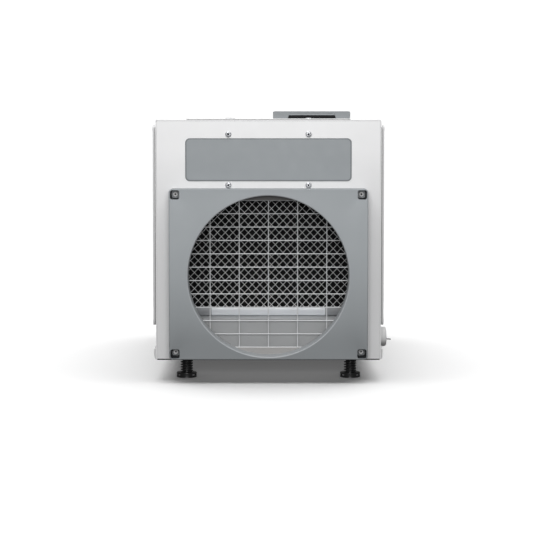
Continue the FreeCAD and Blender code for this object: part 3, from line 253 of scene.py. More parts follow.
# filter, wires, screws and electrics
WIRE = surface("bright_wire", (0.68, 0.69, 0.7), 0.42, metallic=0.2, spread=0.06, grain=1500)
MESH = surface("mesh_wire", (0.93, 0.94, 0.94), 0.4, spread=0.06, grain=1500)
MEDIA = surface("filter_media", (0.006, 0.006, 0.007), 0.9, spread=0.3, grain=1200, grain_depth=0.3 * MM)
CARD = surface("filter_card", (0.3, 0.31, 0.31), 0.8, spread=0.1, grain=1400)
STEEL = surface("plated_steel", (0.6, 0.61, 0.63), 0.32, metallic=0.6, spread=0.08, grain=1500)
# painted light: near-white, lighter than the plated screws, for the light on heads that sit deep in the
# shaded wells
BRIGHT = surface("zinc_painted_light", (0.9, 0.9, 0.9), 0.4, spread=0.05, grain=1500)
RECESS = surface("recess_shade", (0.02, 0.022, 0.025), 0.6, spread=0.1, grain=1500)
PIN = surface("dark_pin", (0.04, 0.04, 0.04), 0.4, metallic=0.5, spread=0.1, grain=900)
BOARD = surface("board", (0.01, 0.12, 0.04), 0.3, spread=0.1, grain=900)

SLOT_FINISH = {
    "white_steel": WHITE, "grey_plastic": GREY, "plate_grey": PLATE, "wire_steel": WIRE, "filter_card": CARD,
    "filter_black": MEDIA, "mesh_wire": MESH, "galvanised": ZINC, "tray_grey": TRAY, "fitting_white": FITTING,
    "fin_aluminium": ZINC, "copper": COPPER, "brass": COPPER, "black_paint": BLACK, "black_rubber": BLACK,
    "zinc": STEEL, "foam": FOAM, "component_black": BLACK, "can_aluminium": ZINC, "sensor_white": FITTING,
    "board_green": BOARD, "window_black": GLASS, "button_grey": PLATE, "fan_black": BLACK,
    "shaft_steel": STEEL, "duct_steel": ZINC, "foot_black": BLACK,
}


def finish_frame():
    """Give every CAD node the finish of its material slot."""
    slots = {part["node"]: part["material_slot"] for part in frame["record"]["subparts"]}
    for name, node in frame["nodes"].items():
        if node.type != "MESH":
            continue
        mat = FRONT if name == "front_panel" else SLOT_FINISH[slots[name]]
        if not node.material_slots:
            node.data.materials.append(mat)
        for place in node.material_slots:
            place.material = mat


# ---- building surfaces ---------------------------------------------------------------------------------

def at(x, y, z):
    """A point given in millimetres from the cabinet's centre plane."""
    return Vector((CENTRE_X + x * MM, y * MM, z * MM))


def place_piece(name, mesh, mat, body="cabinet", nodes=(), angle=38):
    """Turn a mesh into a piece of the object that rides on a body and stands for CAD nodes."""
    for polygon in mesh.polygons:
        polygon.use_smooth = True
    mesh.set_sharp_from_angle(angle=math.radians(angle))
    mesh.materials.clear()
    mesh.materials.append(mat)
    piece = bpy.data.objects.new(name, mesh)
    bpy.context.collection.objects.link(piece)
    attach(piece, body)
    if nodes:
        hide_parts(*nodes)
    return piece


def mesh_from(bm, name):
    """A mesh of what was built, with doubled points merged and every face turned outwards."""
    bmesh.ops.remove_doubles(bm, verts=bm.verts, dist=1e-7)
    bmesh.ops.recalc_face_normals(bm, faces=bm.faces)
    mesh = bpy.data.meshes.new(name)
    bm.to_mesh(mesh)
    bm.free()
    return mesh


def join(meshes, name):
    """One mesh made of several, which are used up."""
    bm = bmesh.new()
    for mesh in meshes:
        bm.from_mesh(mesh)
        bpy.data.meshes.remove(mesh)
    whole = bpy.data.meshes.new(name)
    bm.to_mesh(whole)
    bm.free()
    return whole


def turns(count):
    """Angles of equal steps round a full turn."""
    return [2 * math.pi * i / count for i in range(count)]


def rounded_loop(left, right, low, high, radius, steps=8):
    """Points round a rectangle with round corners, anticlockwise, in millimetres."""
    loop = []
    corners = ((right - radius, low + radius, -90), (right - radius, high - radius, 0),
               (left + radius, high - radius, 90), (left + radius, low + radius, 180))
    for x, z, start in corners:
        for i in range(steps + 1):
            turn = math.radians(start + 90 * i / steps)
            loop.append((x + radius * math.cos(turn), z + radius * math.sin(turn)))
    return loop


def square_loop(x, z, half, radius):
    """Points round a square with round corners about its middle, in millimetres."""
    return rounded_loop(x - half, x + half, z - half, z + half, radius, 5)


def circle_loop(x, z, radius, count):
    """Points round a circle, in millimetres."""
    return [(x + radius * math.cos(turn), z + radius * math.sin(turn)) for turn in turns(count)]


def lifted(loop, y):
    """The places of (x, z) points on the plane at y."""
    return [at(x, y, z) for x, z in loop]


def quarter_round(radius, steps=6):
    """(inset, depth) pairs in millimetres down a rounded edge, from the flat face to the wall."""
    return [(radius * (1 - math.sin(math.pi / 2 * k / steps)),
             radius * (1 - math.cos(math.pi / 2 * k / steps))) for k in range(steps + 1)]


def skin(bm, loops):
    """Quads between closed loops of equally many points."""
    rings = [[bm.verts.new(point) for point in loop] for loop in loops]
    for first, second in zip(rings, rings[1:]):
        count = len(first)
        for i in range(count):
            bm.faces.new((first[i], first[(i + 1) % count], second[(i + 1) % count], second[i]))
    return rings


def capped_skin(bm, loops):
    """A skin with both ends closed."""
    rings = skin(bm, loops)
    bm.faces.new(rings[0])
    bm.faces.new(rings[-1])


def fill_between(bm, rings):
    """Flat faces between an outer ring of vertices and the holes inside it."""
    edges = []
    for ring in rings:
        for i, vert in enumerate(ring):
            edges.append(bm.edges.get((ring[i - 1], vert)) or bm.edges.new((ring[i - 1], vert)))
    bmesh.ops.triangle_fill(bm, edges=edges, use_beauty=True)


def front_plate(name, loops, y, thick, edge):
    """A plate that faces -Y from y: loops are (x, z) outlines in millimetres, first the outer one."""
    curve = bpy.data.curves.new(name, "CURVE")
    curve.dimensions = "2D"
    curve.fill_mode = "BOTH"
    curve.extrude = (thick / 2 - edge) * MM
    curve.bevel_depth = edge * MM
    curve.bevel_resolution = 3
    curve.offset = -edge * MM
    for loop in loops:
        spline = curve.splines.new("POLY")
        spline.points.add(len(loop) - 1)
        for point, (x, z) in zip(spline.points, loop):
            point.co = (x * MM, z * MM, 0, 1)
        spline.use_cyclic_u = True
    holder = bpy.data.objects.new(name, curve)
    mesh = bpy.data.meshes.new_from_object(holder)
    bpy.data.objects.remove(holder)
    bpy.data.curves.remove(curve)
    turn = Matrix(((1, 0, 0, CENTRE_X), (0, 0, -1, (y + thick / 2) * MM), (0, 1, 0, 0), (0, 0, 0, 1)))
    mesh.transform(turn)
    return mesh


def top_plate(name, loops, z, thick, edge):
    """A plate with its upper face thick above z: loops are (x, y) outlines in millimetres."""
    mesh = front_plate(name, loops, 0, thick, edge)
    turn = Matrix(((1, 0, 0, 0), (0, 0, 1, 0), (0, -1, 0, z * MM + thick * MM), (0, 0, 0, 1)))
    mesh.transform(turn)
    return mesh


def side_plate(name, loops, sign, x, thick, edge):
    """A plate that faces sign X, x from the centre plane: loops are (y, z) outlines in millimetres."""
    mesh = front_plate(name, loops, 0, thick, edge)
    mesh.transform(Matrix.Translation((-CENTRE_X, 0, 0)))
    turn = Matrix(((0, -sign, 0, CENTRE_X + sign * x * MM), (sign, 0, 0, 0), (0, 0, 1, 0), (0, 0, 0, 1)))
    mesh.transform(turn)
    return mesh


def turned(name, profile, place, out, count=48, hollow=False):
    """A turned mesh: profile holds (radius, height) pairs in millimetres, with heights along out from place.

    A hollow one closes its profile on itself; a solid one has flat ends.
    """
    bm = bmesh.new()
    facing = out.to_track_quat("Z", "Y").to_matrix()
    loops = []
    for radius, height in profile:
        spots = [Vector((radius * math.cos(turn), radius * math.sin(turn), height)) for turn in turns(count)]
        loops.append([place + facing @ (spot * MM) for spot in spots])
    if hollow:
        skin(bm, loops + loops[:1])
        return mesh_from(bm, name)
    rings = skin(bm, loops)
    for ring in (rings[0], rings[-1]):
        if (ring[0].co - ring[len(ring) // 2].co).length > 1e-5:
            bm.faces.new(ring)
    return mesh_from(bm, name)


def sweep(bm, points, radius, sides):
    """A round wire through points, all in metres, with closed ends."""
    side = (points[1] - points[0]).normalized().orthogonal().normalized()
    loops = []
    for i, point in enumerate(points):
        before = points[max(i - 1, 0)]
        after = points[min(i + 1, len(points) - 1)]
        along = (after - before).normalized()
        side = (side - along * side.dot(along)).normalized()
        other = along.cross(side)
        loops.append([point + (side * math.cos(turn) + other * math.sin(turn)) * radius
                      for turn in turns(sides)])
    capped_skin(bm, loops)


def extruded(name, outline, start, end):
    """A prism along X from start to end: outline holds (y, z) pairs, all in millimetres."""
    bm = bmesh.new()
    capped_skin(bm, [[at(0, 0, 0) + Vector((x, y, z)) * MM for y, z in outline] for x in (start, end)])
    return mesh_from(bm, name)


# ---- screws --------------------------------------------------------------------------------------------

PANEL_SCREW_X = 63.9
PANEL_SCREW_Z = (314.2, 395.3)
WELL_SCREW_X = 148
WELL_Z = (48, 299.9)
SIDE_SCREW_FOOT = 185.9
OUTLET_HEIGHT = 205


def slope_down(value, edge, width):
    """1 inside, 0 past the edge, and a straight slope of that width before it."""
    return min(1.0, max(0.0, (edge - value) / width))


def screw_mesh(place, out, radius, rise, spin):
    """A pan head with a cross recess, in millimetres, that stands on place along out."""
    facing = out.to_track_quat("Z", "Y").to_matrix() @ Matrix.Rotation(spin, 3, "Z")
    rings = 18
    around = turns(48)
    loops = []
    for j in range(rings + 1):
        share = j / rings
        loop = []
        for turn in around:
            x = radius * share * math.cos(turn)
            y = radius * share * math.sin(turn)
            dome = rise * (1 - 0.62 * share ** 5) - 0.06 * rise * share * share
            arm = slope_down(min(abs(x), abs(y)), 0.17 * radius, 0.06 * radius)
            arm *= slope_down(max(abs(x), abs(y)), 0.58 * radius, 0.1 * radius)
            centre = slope_down(math.hypot(x, y), 0.3 * radius, 0.1 * radius)
            height = dome - max(arm, centre) * 0.55 * rise
            loop.append(place + facing @ (Vector((x, y, height)) * MM))
        loops.append(loop)
    loops.append([place + facing @ (Vector((radius * math.cos(turn), radius * math.sin(turn), 0)) * MM)
                  for turn in around])
    bm = bmesh.new()
    skin(bm, loops)
    return mesh_from(bm, "screw")


def recess_mesh(x, y, z, radius):
    """The dark floor of a screw's recess, on a head that faces -Y."""
    profile = [(radius, -0.2), (radius, 0.0), (radius * 0.4, -0.05), (0, -0.06)]
    return turned("recess", profile, at(x, y, z), FRONT_WAY, 20)


def build_screws():
    """Every visible screw, each set in one piece, turned to a chance angle as a screwdriver leaves it."""
    chance = random.Random(7)
    panel_x = (-PANEL_SCREW_X, PANEL_SCREW_X)
    well_x = (-WELL_SCREW_X, WELL_SCREW_X)

    def head(x, y, z, out, radius=5.0, rise=2.5):
        """One pan head at a chance angle."""
        return screw_mesh(at(x, y, z), out, radius, rise, chance.uniform(0, math.pi / 2))

    cabinet = [head(x, -320, z, FRONT_WAY) for x in panel_x for z in PANEL_SCREW_Z]
    cabinet += [head(x, y, 420, UP, rise=1.3) for x in panel_x for y in (-309, 50)]
    place_piece("cabinet_screw_heads", join(cabinet, "cabinet_screw_heads"), STEEL, nodes=["cabinet_screws"])

    well_head = [(3.7, 0), (3.7, 2.0), (3.4, 2.4), (1.6, 2.4), (1.3, 1.9), (0, 1.8)]
    deep = [turned("head", well_head, at(x, -324, z), FRONT_WAY, 32) for x in well_x for z in WELL_Z]
    # the well screws are painted light to read bright in the shaded wells
    place_piece("well_screw_heads", join(deep, "well_screw_heads"), BRIGHT)

    around = 109.5 * math.sqrt(0.5)
    collar = [head(x, 322.5, OUTLET_HEIGHT + z, -FRONT_WAY)
              for x in (-around, around) for z in (-around, around)]
    place_piece("collar_screw_heads", join(collar, "collar_screw_heads"), STEEL, nodes=["collar_screws"])

    spots = [recess_mesh(x, -322.55, z, 1.75) for x in panel_x for z in PANEL_SCREW_Z]
    spots += [recess_mesh(x, -326.1, z, 1.4) for x in well_x for z in WELL_Z]
    place_piece("screw_recesses", join(spots, "screw_recesses"), RECESS)

    side = []
    for sign in (-1, 1):
        for y in (-283.5, 0, 283.5):
            side += [head(sign * SIDE_SCREW_FOOT, y, z, Vector((sign, 0, 0)), 4.8, 0.7)
                     for z in (93, 403.2)]
    place_piece("side_screw_heads", join(side, "side_screw_heads"), STEEL, nodes=["side_cover_screws"])


# ---- inlet ---------------------------------------------------------------------------------------------

COLLAR_HALF = 157.2
COLLAR_LOW = 38.8
COLLAR_HIGH = 309.1
COLLAR_FRONT = -356
COLLAR_DEPTH = 36
INLET_RADIUS = 127.9
INLET_HEIGHT = 170.8
WELL_X = 147.96
WELL_HALF = 7.2
WELL_DEPTH = 31.5
OPENING_HALF = 140
OPENING_LOW = 54.2
OPENING_HIGH = 289.9


def well_loops(x, z, steps):
    """Outlines down a screw well: steps hold (inset, depth) pairs."""
    return [lifted(square_loop(x, z, WELL_HALF + inset, 3.2 + inset * 0.5), COLLAR_FRONT + sink)
            for inset, sink in steps]


def build_collar():
    """The moulded inlet collar, its ring, the tapered walls of its screw wells, and the seal behind it."""
    body = bmesh.new()
    ring = bmesh.new()
    walls = bmesh.new()

    outline = []
    for inset, sink in quarter_round(1.4) + [(0, COLLAR_DEPTH - 3.2), (0, COLLAR_DEPTH)]:
        loop = rounded_loop(-COLLAR_HALF + inset, COLLAR_HALF - inset,
                            COLLAR_LOW + inset, COLLAR_HIGH - inset, 5.2 - inset * 0.6)
        outline.append(lifted(loop, COLLAR_FRONT + sink))
    mouth = INLET_RADIUS - 0.3
    tube = [lifted(circle_loop(0, INLET_HEIGHT, mouth + inset, 192), COLLAR_FRONT + sink)
            for inset, sink in quarter_round(1.9) + [(-0.1, 18), (-0.2, COLLAR_DEPTH - 0.2)]]
    skin(ring, tube)

    front_rings = [skin(body, outline)[0], [body.verts.new(point) for point in tube[0]]]
    for x, z in [(sign * WELL_X, z) for sign in (-1, 1) for z in WELL_Z]:
        front_rings.append(skin(body, well_loops(x, z, quarter_round(0.5)))[0])
        skin(walls, well_loops(x, z, [(0, 0.5), (-1.1, 28), (-1.4, WELL_DEPTH)]))
        floor = lifted(square_loop(x, z, 5.8, 2.5), COLLAR_FRONT + WELL_DEPTH)
        body.faces.new([body.verts.new(point) for point in floor])
    fill_between(body, front_rings)

    # the collar moulding carries painted shade in its finish
    place_piece("inlet_collar_moulding", mesh_from(body, "collar"), COLLAR, nodes=["inlet_collar"],
                angle=30)
    place_piece("inlet_ring", mesh_from(ring, "rim"), RING)
    # the well walls are painted dark for the shade inside the wells
    place_piece("collar_well_walls", mesh_from(walls, "walls"), WELL)
    opening = rounded_loop(-OPENING_HALF, OPENING_HALF, OPENING_LOW, OPENING_HIGH, 0.8, 3)
    seal = front_plate("inlet_seal", [rounded_loop(-142, 142, 40.5, 301, 20), opening], -321.2, 1.0, 0.25)
    # the seal's upper part is painted darker for the collar's shade
    place_piece("inlet_seal", seal, SEAL_SHADE)


def build_name_plate():
    """A thin blank plate whose face stands a little above its border."""
    border_line = rounded_loop(-132.6, 132.6, 320.3, 388.8, 7.2)
    border = front_plate("plate_border", [border_line], -320.45, 0.45, 0.18)
    place_piece("plate_border", border, PLATE_EDGE, nodes=["name_plate"])
    face_line = rounded_loop(-130.6, 130.6, 322.3, 386.8, 5.6)
    face = front_plate("plate_face", [face_line], -320.8, 0.8, 0.3)
    place_piece("plate_face", face, PLATE)


def build_grille():
    """Straight welded wires: twelve rows with seven columns behind them."""
    bm = bmesh.new()
    chance = random.Random(3)
    radius = 0.85
    row_y = -317.3
    column_y = row_y + 1.75
    row_half = 147.6
    column_low = 48.4
    column_high = 295.6
    rows = 12
    columns = 7
    points_per_wire = 25
    last = points_per_wire - 1
    for i in range(rows):
        z = OPENING_LOW + (OPENING_HIGH - OPENING_LOW) * i / (rows - 1)
        points = []
        for k in range(points_per_wire):
            x = -row_half + 2 * row_half * k / last
            points.append(at(x, row_y + chance.uniform(-0.05, 0.05), z + chance.uniform(-0.07, 0.07)))
        sweep(bm, points, radius * MM, 12)
    for i in range(columns):
        x = -OPENING_HALF + 2 * OPENING_HALF * i / (columns - 1)
        points = []
        for k in range(points_per_wire):
            z = column_low + (column_high - column_low) * k / last
            points.append(at(x + chance.uniform(-0.07, 0.07), column_y + chance.uniform(-0.04, 0.04), z))
        sweep(bm, points, radius * MM, 12)
    place_piece("grille_wires", mesh_from(bm, "grille"), WIRE, nodes=["inlet_grille"], angle=60)


def build_mesh():
    """Woven diamond mesh before the filter: each wire passes over and under the ones that it crosses."""
    bm = bmesh.new()
    half = 135.2
    low = 104.8
    high = 324.2
    mesh_y = -249.1
    weave = 0.36
    radius = 0.43
    segment = 3.3
    step_x = 12.6
    step_z = 13.1
    run = (high - low) / (step_z / step_x)
    for lean in (1, -1):
        for i in range(int((2 * half + run) / step_x) + 1):
            start_x = -half - run + step_x * i
            first = max(0.0, (-half - start_x) / run)
            last = min(1.0, (half - start_x) / run)
            pieces = int((last - first) * (high - low) / segment)
            if pieces < 3:
                continue
            points = []
            for k in range(pieces + 1):
                share = first + (last - first) * k / pieces
                climb = (high - low) * share
                z = low + climb if lean > 0 else high - climb
                wave = math.cos(math.pi * (share * run / (step_x / 2)) + math.pi * i)
                points.append(at(start_x + run * share, mesh_y + weave * wave * lean, z))
            sweep(bm, points, radius * MM, 6)
    place_piece("filter_wire_mesh", mesh_from(bm, "mesh"), MESH, nodes=["filter_mesh"], angle=70)


def build_channel():
    """The lower filter channel, whose front lip is rolled to a round edge, and the ledge in front of it."""
    steps = 12
    outline = []
    for k in range(steps + 1):
        turn = math.radians(-100 + 200 * k / steps)
        y = -251.8 if k in (0, steps) else -251.6 - 0.95 * math.cos(turn)
        outline.append((y, 105.4 + 6.5 * math.sin(turn)))
    outline += [(-250.6, 111.4), (-250.6, 99.8), (-225.6, 99.8), (-225.6, 111.9), (-224.1, 111.9),
                (-224.1, 98.3), (-251.2, 98.3)]
    bright_half = 93
    half = 150
    # painted reflection across the middle of the lip and painted shade on its ends
    lip = extruded("channel", outline, -bright_half, bright_half)
    place_piece("filter_channel_lip", lip, LIP, nodes=["filter_channel_lower"])
    ends = [extruded("channel", outline, -half, -bright_half),
            extruded("channel", outline, bright_half, half)]
    place_piece("filter_channel_ends", join(ends, "channel_ends"), LIP_END)
    # painted light: the ledge plate is lighter than the tray so that the shaded ledge reads lit
    ledge = top_plate("ledge", [rounded_loop(-149, 149, -297.6, -252, 1)], 97, 0.4, 0.1)
    place_piece("tray_ledge", ledge, LEDGE_PAINTED_LIGHT)


# ---- control -------------------------------------------------------------------------------------------

CONTROL_LEFT = 7.5
CONTROL_RIGHT = 130.9
CONTROL_LOW = 420
CONTROL_HIGH = 431.5
NOTCH_LEFT = 31.0
NOTCH_RIGHT = 108.0
NOTCH_TOP = 428.2
NOTCH_SLANT = 2.6
BUTTON_PLACES = ((34, "button_power", "power_button"), (52, "button_down", "down_button"),
                 (106, "button_up", "up_button"))


def build_control():
    """Two-part housing with a wide notch over a dark slot, a glossy window and flush buttons."""
    left = CONTROL_LEFT
    right = CONTROL_RIGHT
    low_cut = 1.2
    high_cut = 1.6
    front_outline = [(left + low_cut, CONTROL_LOW), (NOTCH_LEFT, CONTROL_LOW),
                     (NOTCH_LEFT + NOTCH_SLANT, NOTCH_TOP),
                     (NOTCH_RIGHT - NOTCH_SLANT, NOTCH_TOP), (NOTCH_RIGHT, CONTROL_LOW),
                     (right - low_cut, CONTROL_LOW), (right, CONTROL_LOW + low_cut),
                     (right, CONTROL_HIGH - high_cut), (right - high_cut, CONTROL_HIGH),
                     (left + high_cut, CONTROL_HIGH), (left, CONTROL_HIGH - high_cut),
                     (left, CONTROL_LOW + low_cut)]
    slab = front_plate("control_front", [front_outline], -300, 6, 0.5)
    shell = rounded_loop(left, right, CONTROL_LOW, CONTROL_HIGH, high_cut, 5)
    back = front_plate("control_back", [shell], -294.05, 66, 0.7)
    place_piece("control_case", join([slab, back], "control_case"), CASE, nodes=["control_housing"])
    # the brow's finish is painted lighter than the case
    brow_line = [(31.2, 425.5), (107.8, 425.5), (106.4, 428.6), (32.6, 428.6)]
    brow = front_plate("control_brow_painted_light", [brow_line], -299.2, 3.2, 0.15)
    place_piece("control_brow_painted_light", brow, BROW)
    slot_line = rounded_loop(NOTCH_LEFT, NOTCH_RIGHT, 420.05, 425.4, 0.3, 2)
    slot = front_plate("control_slot", [slot_line], -298.2, 4.0, 0.2)
    place_piece("control_slot", slot, SLOT, nodes=["control_insert"])

    deck_line = rounded_loop(left + 3.2, right - 3.2, -296.5, -231.5, 3)
    deck = top_plate("control_deck", [deck_line], CONTROL_HIGH, 0.22, 0.08)
    place_piece("control_deck", deck, PLATE)
    window = top_plate("control_window", [rounded_loop(62, 96, -263, -241, 2)], CONTROL_HIGH, 0.34, 0.1)
    place_piece("control_window", window, GLASS, nodes=["display_window"])
    profile = [(5.3, -1.8), (5.5, -1.5), (5.5, 0.1), (5.35, 0.3), (5.0, 0.38), (3.5, 0.3), (1.8, 0.16),
               (0, 0.12)]
    for x, name, body in BUTTON_PLACES:
        cap = turned(name + "_cap", profile, at(x, -252, CONTROL_HIGH), UP)
        place_piece(name + "_cap", cap, BUTTON, body=body, nodes=[name])


# ---- feet ----------------------------------------------------------------------------------------------

FOOT_X = 133
FOOT_Y = 270
THREAD_PITCH = 4.1
THREAD_ROOT = 6.9
THREAD_CREST = 10.15
THREAD_LOW = 7.6
THREAD_HIGH = 61.9
THREAD_LAYER = 0.42
RIB_SPANS_DEG = ((-39, 39), (70, 110), (141, 219), (250, 290))


def thread_mesh(x, y):
    """A true helix from the pad up into the cabinet, with a short tapered end."""
    count = 48
    layers = int((THREAD_HIGH - THREAD_LOW) / THREAD_LAYER)
    loops = []
    for j in range(layers + 1):
        z = THREAD_LOW + (THREAD_HIGH - THREAD_LOW) * j / layers
        end = max(0.0, min(1.0, (THREAD_HIGH - z) / 1.2))
        loop = []
        for i, turn in enumerate(turns(count)):
            phase = ((z / THREAD_PITCH) - i / count) % 1.0
            tooth = max(0.0, min(1.0, 2.6 - abs(phase - 0.5) * 7.5))
            radius = THREAD_ROOT - 0.8 * (1 - end) + (THREAD_CREST - THREAD_ROOT) * tooth * end
            if end > 0.5:
                radius = max(radius, THREAD_ROOT)
            loop.append(at(x, y, z) + Vector((math.cos(turn), math.sin(turn), 0)) * radius * MM)
        loops.append(loop)
    bm = bmesh.new()
    bm.faces.new(skin(bm, loops)[-1])
    return mesh_from(bm, "thread")


def build_foot(x, y, body, node):
    """Moulded levelling foot: a threaded stem over a pad whose side has ribs with windows between them."""
    profile = [(0, 0), (15.6, 0), (16.3, 0.5), (16.4, 2.2), (15.9, 2.75), (14.2, 2.95), (13.6, 3.3),
               (13.5, 5.1), (14.2, 5.5), (15.9, 5.6), (16.4, 6.1), (16.4, 7.6), (15.8, 8.3), (10.5, 8.35),
               (8.4, 8.4), (7.6, 8.9)]
    pad = turned("pad", profile, at(x, y, 0), UP, 64)
    stem = thread_mesh(x, y)
    place_piece(node + "_moulding", join([stem, pad], node), FOOT, body=body, nodes=[node], angle=50)
    # painted highlight: a grey core ring shows through the rib windows at the front left and right as the
    # pad's highlights
    core = turned("core", [(12.0, 3.1), (13.9, 3.1), (13.9, 5.4), (12.0, 5.4)], at(x, y, 0), UP, 64)
    place_piece(node + "_core", core, PAD_HIGHLIGHT, body=body)
    ribs = bmesh.new()
    section = ((13, 2.6), (16.1, 2.6), (16.1, 5.8), (13, 5.8))
    steps = 12
    for first, last in RIB_SPANS_DEG:
        loops = []
        for k in range(steps + 1):
            turn = math.radians(first + (last - first) * k / steps)
            way = Vector((math.sin(turn), -math.cos(turn), 0))
            loops.append([at(x, y, z) + way * reach * MM for reach, z in section])
        capped_skin(ribs, loops)
    place_piece(node + "_ribs", mesh_from(ribs, "ribs"), FOOT, body=body)


def build_feet():
    """The four levelling feet, each on its own body."""
    for end, sign_y in (("front", -1), ("rear", 1)):
        for side, sign_x in (("left", -1), ("right", 1)):
            build_foot(sign_x * FOOT_X, sign_y * FOOT_Y, f"{end}_{side}_foot", f"foot_{end}_{side}")


# ---- sides, rear and underside -------------------------------------------------------------------------

COVER_FACE_X = 186.1
COVER_HEM_X = 184.9


def edge_strip(name, sign, near, far, low, high, radius, steps, y, thick, edge):
    """An upright strip that faces -Y beside one side wall, between near and far from the centre plane."""
    left, right = sorted((sign * near, sign * far))
    return front_plate(name, [rounded_loop(left, right, low, high, radius, steps)], y, thick, edge)


def build_side_covers():
    """Side covers: a white face over a hem, painted grey for the shade on its front edge, that stands off the
    wrapper, and a dark strip at each cover's seat that paints the shadow there.
    """
    outline = rounded_loop(-290, 290, 86.5, 409.7, 6, 6)
    hem_line = rounded_loop(-289.8, 289.8, 86.7, 409.5, 5.8, 6)
    signs = (-1, 1)
    faces = [side_plate("face", [outline], sign, COVER_FACE_X, 1.4, 0.5) for sign in signs]
    hems = [side_plate("hem", [hem_line], sign, COVER_HEM_X, 4.6, 0.2) for sign in signs]
    # painted shadow: dark strips beside the wrapper where the covers' seats are in shade
    shadow_strips = [edge_strip("seal", sign, 180.6, 182.5, 88, 406, 0.9, 3, -290.6, 0.6, 0.1) for sign in signs]
    place_piece("side_cover_faces", join(faces, "faces"), WHITE,
                nodes=["side_cover_left", "side_cover_right"])
    place_piece("side_cover_hems", join(hems, "hems"), COVER_HEM)
    place_piece("cover_shadow_strips", join(shadow_strips, "cover_shadow_strips"), BLACK)


def build_edges():
    """The dark strips that paint the shadow lines under the front and before the top plate, and the pan's
    ears at its corners.
    """
    # painted shadow: a dark strip along the front panel's lower edge
    hem = front_plate("front_shadow_line", [rounded_loop(-178, 178, 34.1, 35.9, 0.6, 3)], -320.4, 0.5, 0.1)
    place_piece("front_shadow_line", hem, RECESS)
    # painted shadow: a dark line before the top plate's front edge
    line = front_plate("top_line", [rounded_loop(-130.5, 130.5, 418.1, 418.9, 0.3, 2)], -316.3, 0.3, 0.05)
    place_piece("top_plate_shadow_line", line, SEAL_SHADE)
    ears = [edge_strip("ear", sign, 177, 182.8, 40, 55.5, 2.6, 6, -312, 10, 0.5) for sign in (-1, 1)]
    place_piece("pan_ears", join(ears, "pan_ears"), WHITE)


def build_drain_cap():
    """White cap over the drain stub, with a thin bent pin that sticks out below its middle."""
    cap_y = -230
    profile = [(15.4, 0), (16.0, 0.4), (16.2, 1.2), (16.2, 2.6), (15.9, 2.9), (15.9, 3.3), (16.1, 3.6),
               (16.1, 6.6), (15.9, 8.0), (15.2, 9.4), (13.8, 10.4), (12.0, 10.7), (9.5, 10.7), (9.2, 10.4),
               (8.8, 10.2), (0, 10.2)]
    cap = turned("drain_cap", profile, at(183.3, cap_y, 61.6), Vector((1, 0, 0)), 64)
    # the cap's finish paints shade on its underside
    place_piece("drain_cap", cap, CAP, nodes=["drain_fitting"])
    bm = bmesh.new()
    sweep(bm, [at(192.5 + 9.3 * k / 6, cap_y, 57.4 - 0.55 * (k / 6) ** 2) for k in range(7)], 0.95 * MM, 12)
    place_piece("drain_pin", mesh_from(bm, "pin"), PIN)


def build_outlet():
    """Round outlet collar with a rolled bead and flange, and a flap with a pressed ring."""
    flap_y = 338
    profile = [(99.0, 0.05), (117.4, 0.05), (118.0, 0.6), (118.0, 1.9), (117.3, 2.5), (103.2, 2.5),
               (101.6, 3.2), (101.0, 4.8), (101.0, 9.5), (100.9, 10.2), (100.4, 11.0), (100.4, 12.2),
               (100.9, 13.0), (101.0, 13.7), (101.0, 35.4), (100.7, 35.9), (99.6, 35.9), (99.2, 35.4),
               (99.0, 34.6)]
    tube = turned("outlet_tube", profile, at(0, 320, OUTLET_HEIGHT), REAR_WAY, 128, hollow=True)
    place_piece("outlet_tube", tube, DUCT, nodes=["outlet_collar"], angle=25)
    face = [(0, 0.7), (58, 0.7), (60, 1.2), (64, 1.2), (66, 0.7), (95.6, 0.7), (96.4, 0.5), (96.4, -0.5),
            (95.6, -0.7), (0, -0.7)]
    flap = turned("flap", face, at(0, flap_y, OUTLET_HEIGHT), REAR_WAY, 96)
    bm = bmesh.new()
    sweep(bm, [at(-84 + 168 * k / 8, flap_y, 225) for k in range(9)], 4.0 * MM, 20)
    stiffener = mesh_from(bm, "hem")
    place_piece("damper_disc", join([flap, stiffener], "damper_disc"), DUCT, body="damper",
                nodes=["damper_flap"])


def build_gland():
    """Round strain relief: a domed flange outside and a sleeve through the wall, with no cord in it."""
    profile = [(4.4, 4.9), (7.2, 4.9), (8.4, 4.6), (12.2, 3.6), (13.0, 2.8), (13.0, 0.1), (9.1, 0.1),
               (8.9, -0.4), (8.9, -11.6), (4.4, -11.6)]
    gland = turned("gland", profile, at(-128, 320, 372), REAR_WAY, hollow=True)
    place_piece("power_gland_body", gland, RUBBER, nodes=["power_gland"])


def build_details():
    """Every piece that Blender adds; each builder places its own."""
    build_screws()
    build_collar()
    build_name_plate()
    build_grille()
    build_mesh()
    build_channel()
    build_control()
    build_feet()
    build_drain_cap()
    build_outlet()
    build_gland()
    build_side_covers()
    build_edges()


# ---- camera, floor and light ---------------------------------------------------------------------------

CAMERA_DISTANCE = 3.0
CAMERA_ASIDE = -0.0031
LENS_MM = 127.2
SENSOR_MM = 36
PITCH_DEG = 3.485
SHIFT_Y = -0.06
FLOOR_SIZE = 5
FLOOR_BACK = 1.45
WORLD_SEEN = 1.05
WORLD_LIGHT = 0.14


def make_camera():
    """A long lens level with the cabinet's top, tilted down to the inlet."""
    data = bpy.data.cameras.new("camera")
    data.lens = LENS_MM
    data.sensor_width = SENSOR_MM
    data.shift_y = SHIFT_Y
    data.clip_end = 50
    camera = bpy.data.objects.new("camera", data)
    camera.location = (CENTRE_X + CAMERA_ASIDE, PANEL_Y - CAMERA_DISTANCE, CABINET_TOP)
    camera.rotation_euler = (math.radians(90 - PITCH_DEG), 0, 0)
    bpy.context.collection.objects.link(camera)
    bpy.context.scene.camera = camera


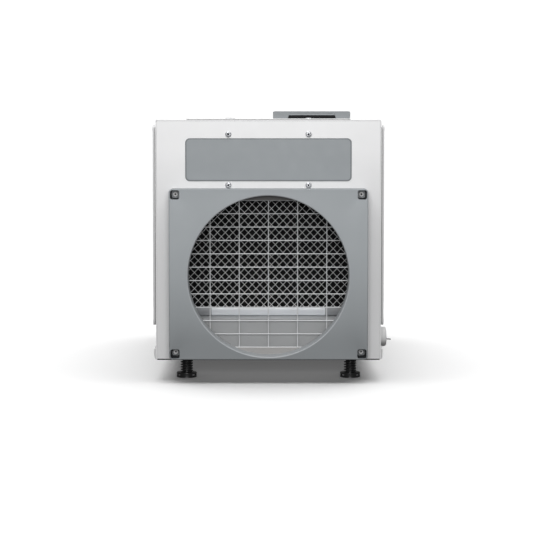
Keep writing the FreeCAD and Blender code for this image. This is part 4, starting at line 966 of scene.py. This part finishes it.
def make_floor():
    """White paper that sends no light back to the object."""
    bpy.ops.mesh.primitive_plane_add(size=FLOOR_SIZE, location=(0, FLOOR_BACK - FLOOR_SIZE / 2, 0))
    floor = bpy.context.object
    floor.name = "floor"
    floor.data.materials.append(surface("floor_paper", (0.93, 0.93, 0.93), 0.5, spread=0.005))
    floor.visible_diffuse = False
    floor.visible_glossy = False
    return floor


def area_light(name, place, aim, size, power):
    """A rectangular lamp, in metres and watts."""
    data = bpy.data.lights.new(name, "AREA")
    data.shape = "RECTANGLE"
    data.size, data.size_y = size
    data.energy = power
    lamp = bpy.data.objects.new(name, data)
    lamp.location = place
    lamp.rotation_euler = (Vector(aim) - Vector(place)).to_track_quat("-Z", "Y").to_euler()
    bpy.context.collection.objects.link(lamp)
    return lamp


def make_world():
    """A white room that lights the object less than it shows, so that the lamps shape it."""
    world = bpy.data.worlds.new("studio")
    world.use_nodes = True
    tree = world.node_tree
    shown = tree.nodes["Background"]
    shown.inputs["Strength"].default_value = WORLD_SEEN
    shown.inputs["Color"].default_value = (1, 1, 1, 1)
    light = add(tree, "ShaderNodeBackground", Color=(1, 1, 1, 1), Strength=WORLD_LIGHT)
    path = tree.nodes.new("ShaderNodeLightPath")
    both = tree.nodes.new("ShaderNodeMixShader")
    tree.links.new(path.outputs["Is Camera Ray"], both.inputs["Fac"])
    tree.links.new(light.outputs[0], both.inputs[1])
    tree.links.new(shown.outputs[0], both.inputs[2])
    tree.links.new(both.outputs[0], tree.nodes["World Output"].inputs["Surface"])
    bpy.context.scene.world = world
    bpy.context.scene.view_settings.view_transform = "Standard"


def make_light(floor):
    """A wide softbox above, a high lamp before the front, a low one at the camera, and one for the floor."""
    area_light("overhead", (0, 0.5, 2.4), (0, 0.5, 0), size=(4.4, 4.4), power=62)
    key = area_light("key_light", (-0.1, PANEL_Y - 0.8, 1.35), (0, PANEL_Y, 0.25), size=(1.2, 0.5), power=9.4)
    area_light("fill_light", (0, PANEL_Y - 3.0, 0.62), (0, PANEL_Y, 0.2), size=(1.2, 0.5), power=31)
    under = area_light("floor_light", (0, 0.6, 2.5), (0, 0.6, 0), size=(6.5, 4.6), power=135)
    floor_only = bpy.data.collections.new("floor_only")
    floor_only.objects.link(floor)
    under.light_linking.receiver_collection = floor_only
    keep_off = bpy.data.collections.new("not_lit_by_key")
    keep_off.objects.link(floor)
    keep_off.collection_objects[0].light_linking.link_state = "EXCLUDE"
    key.light_linking.receiver_collection = keep_off


finish_frame()
build_details()
make_camera()
studio_floor = make_floor()
make_world()
make_light(studio_floor)
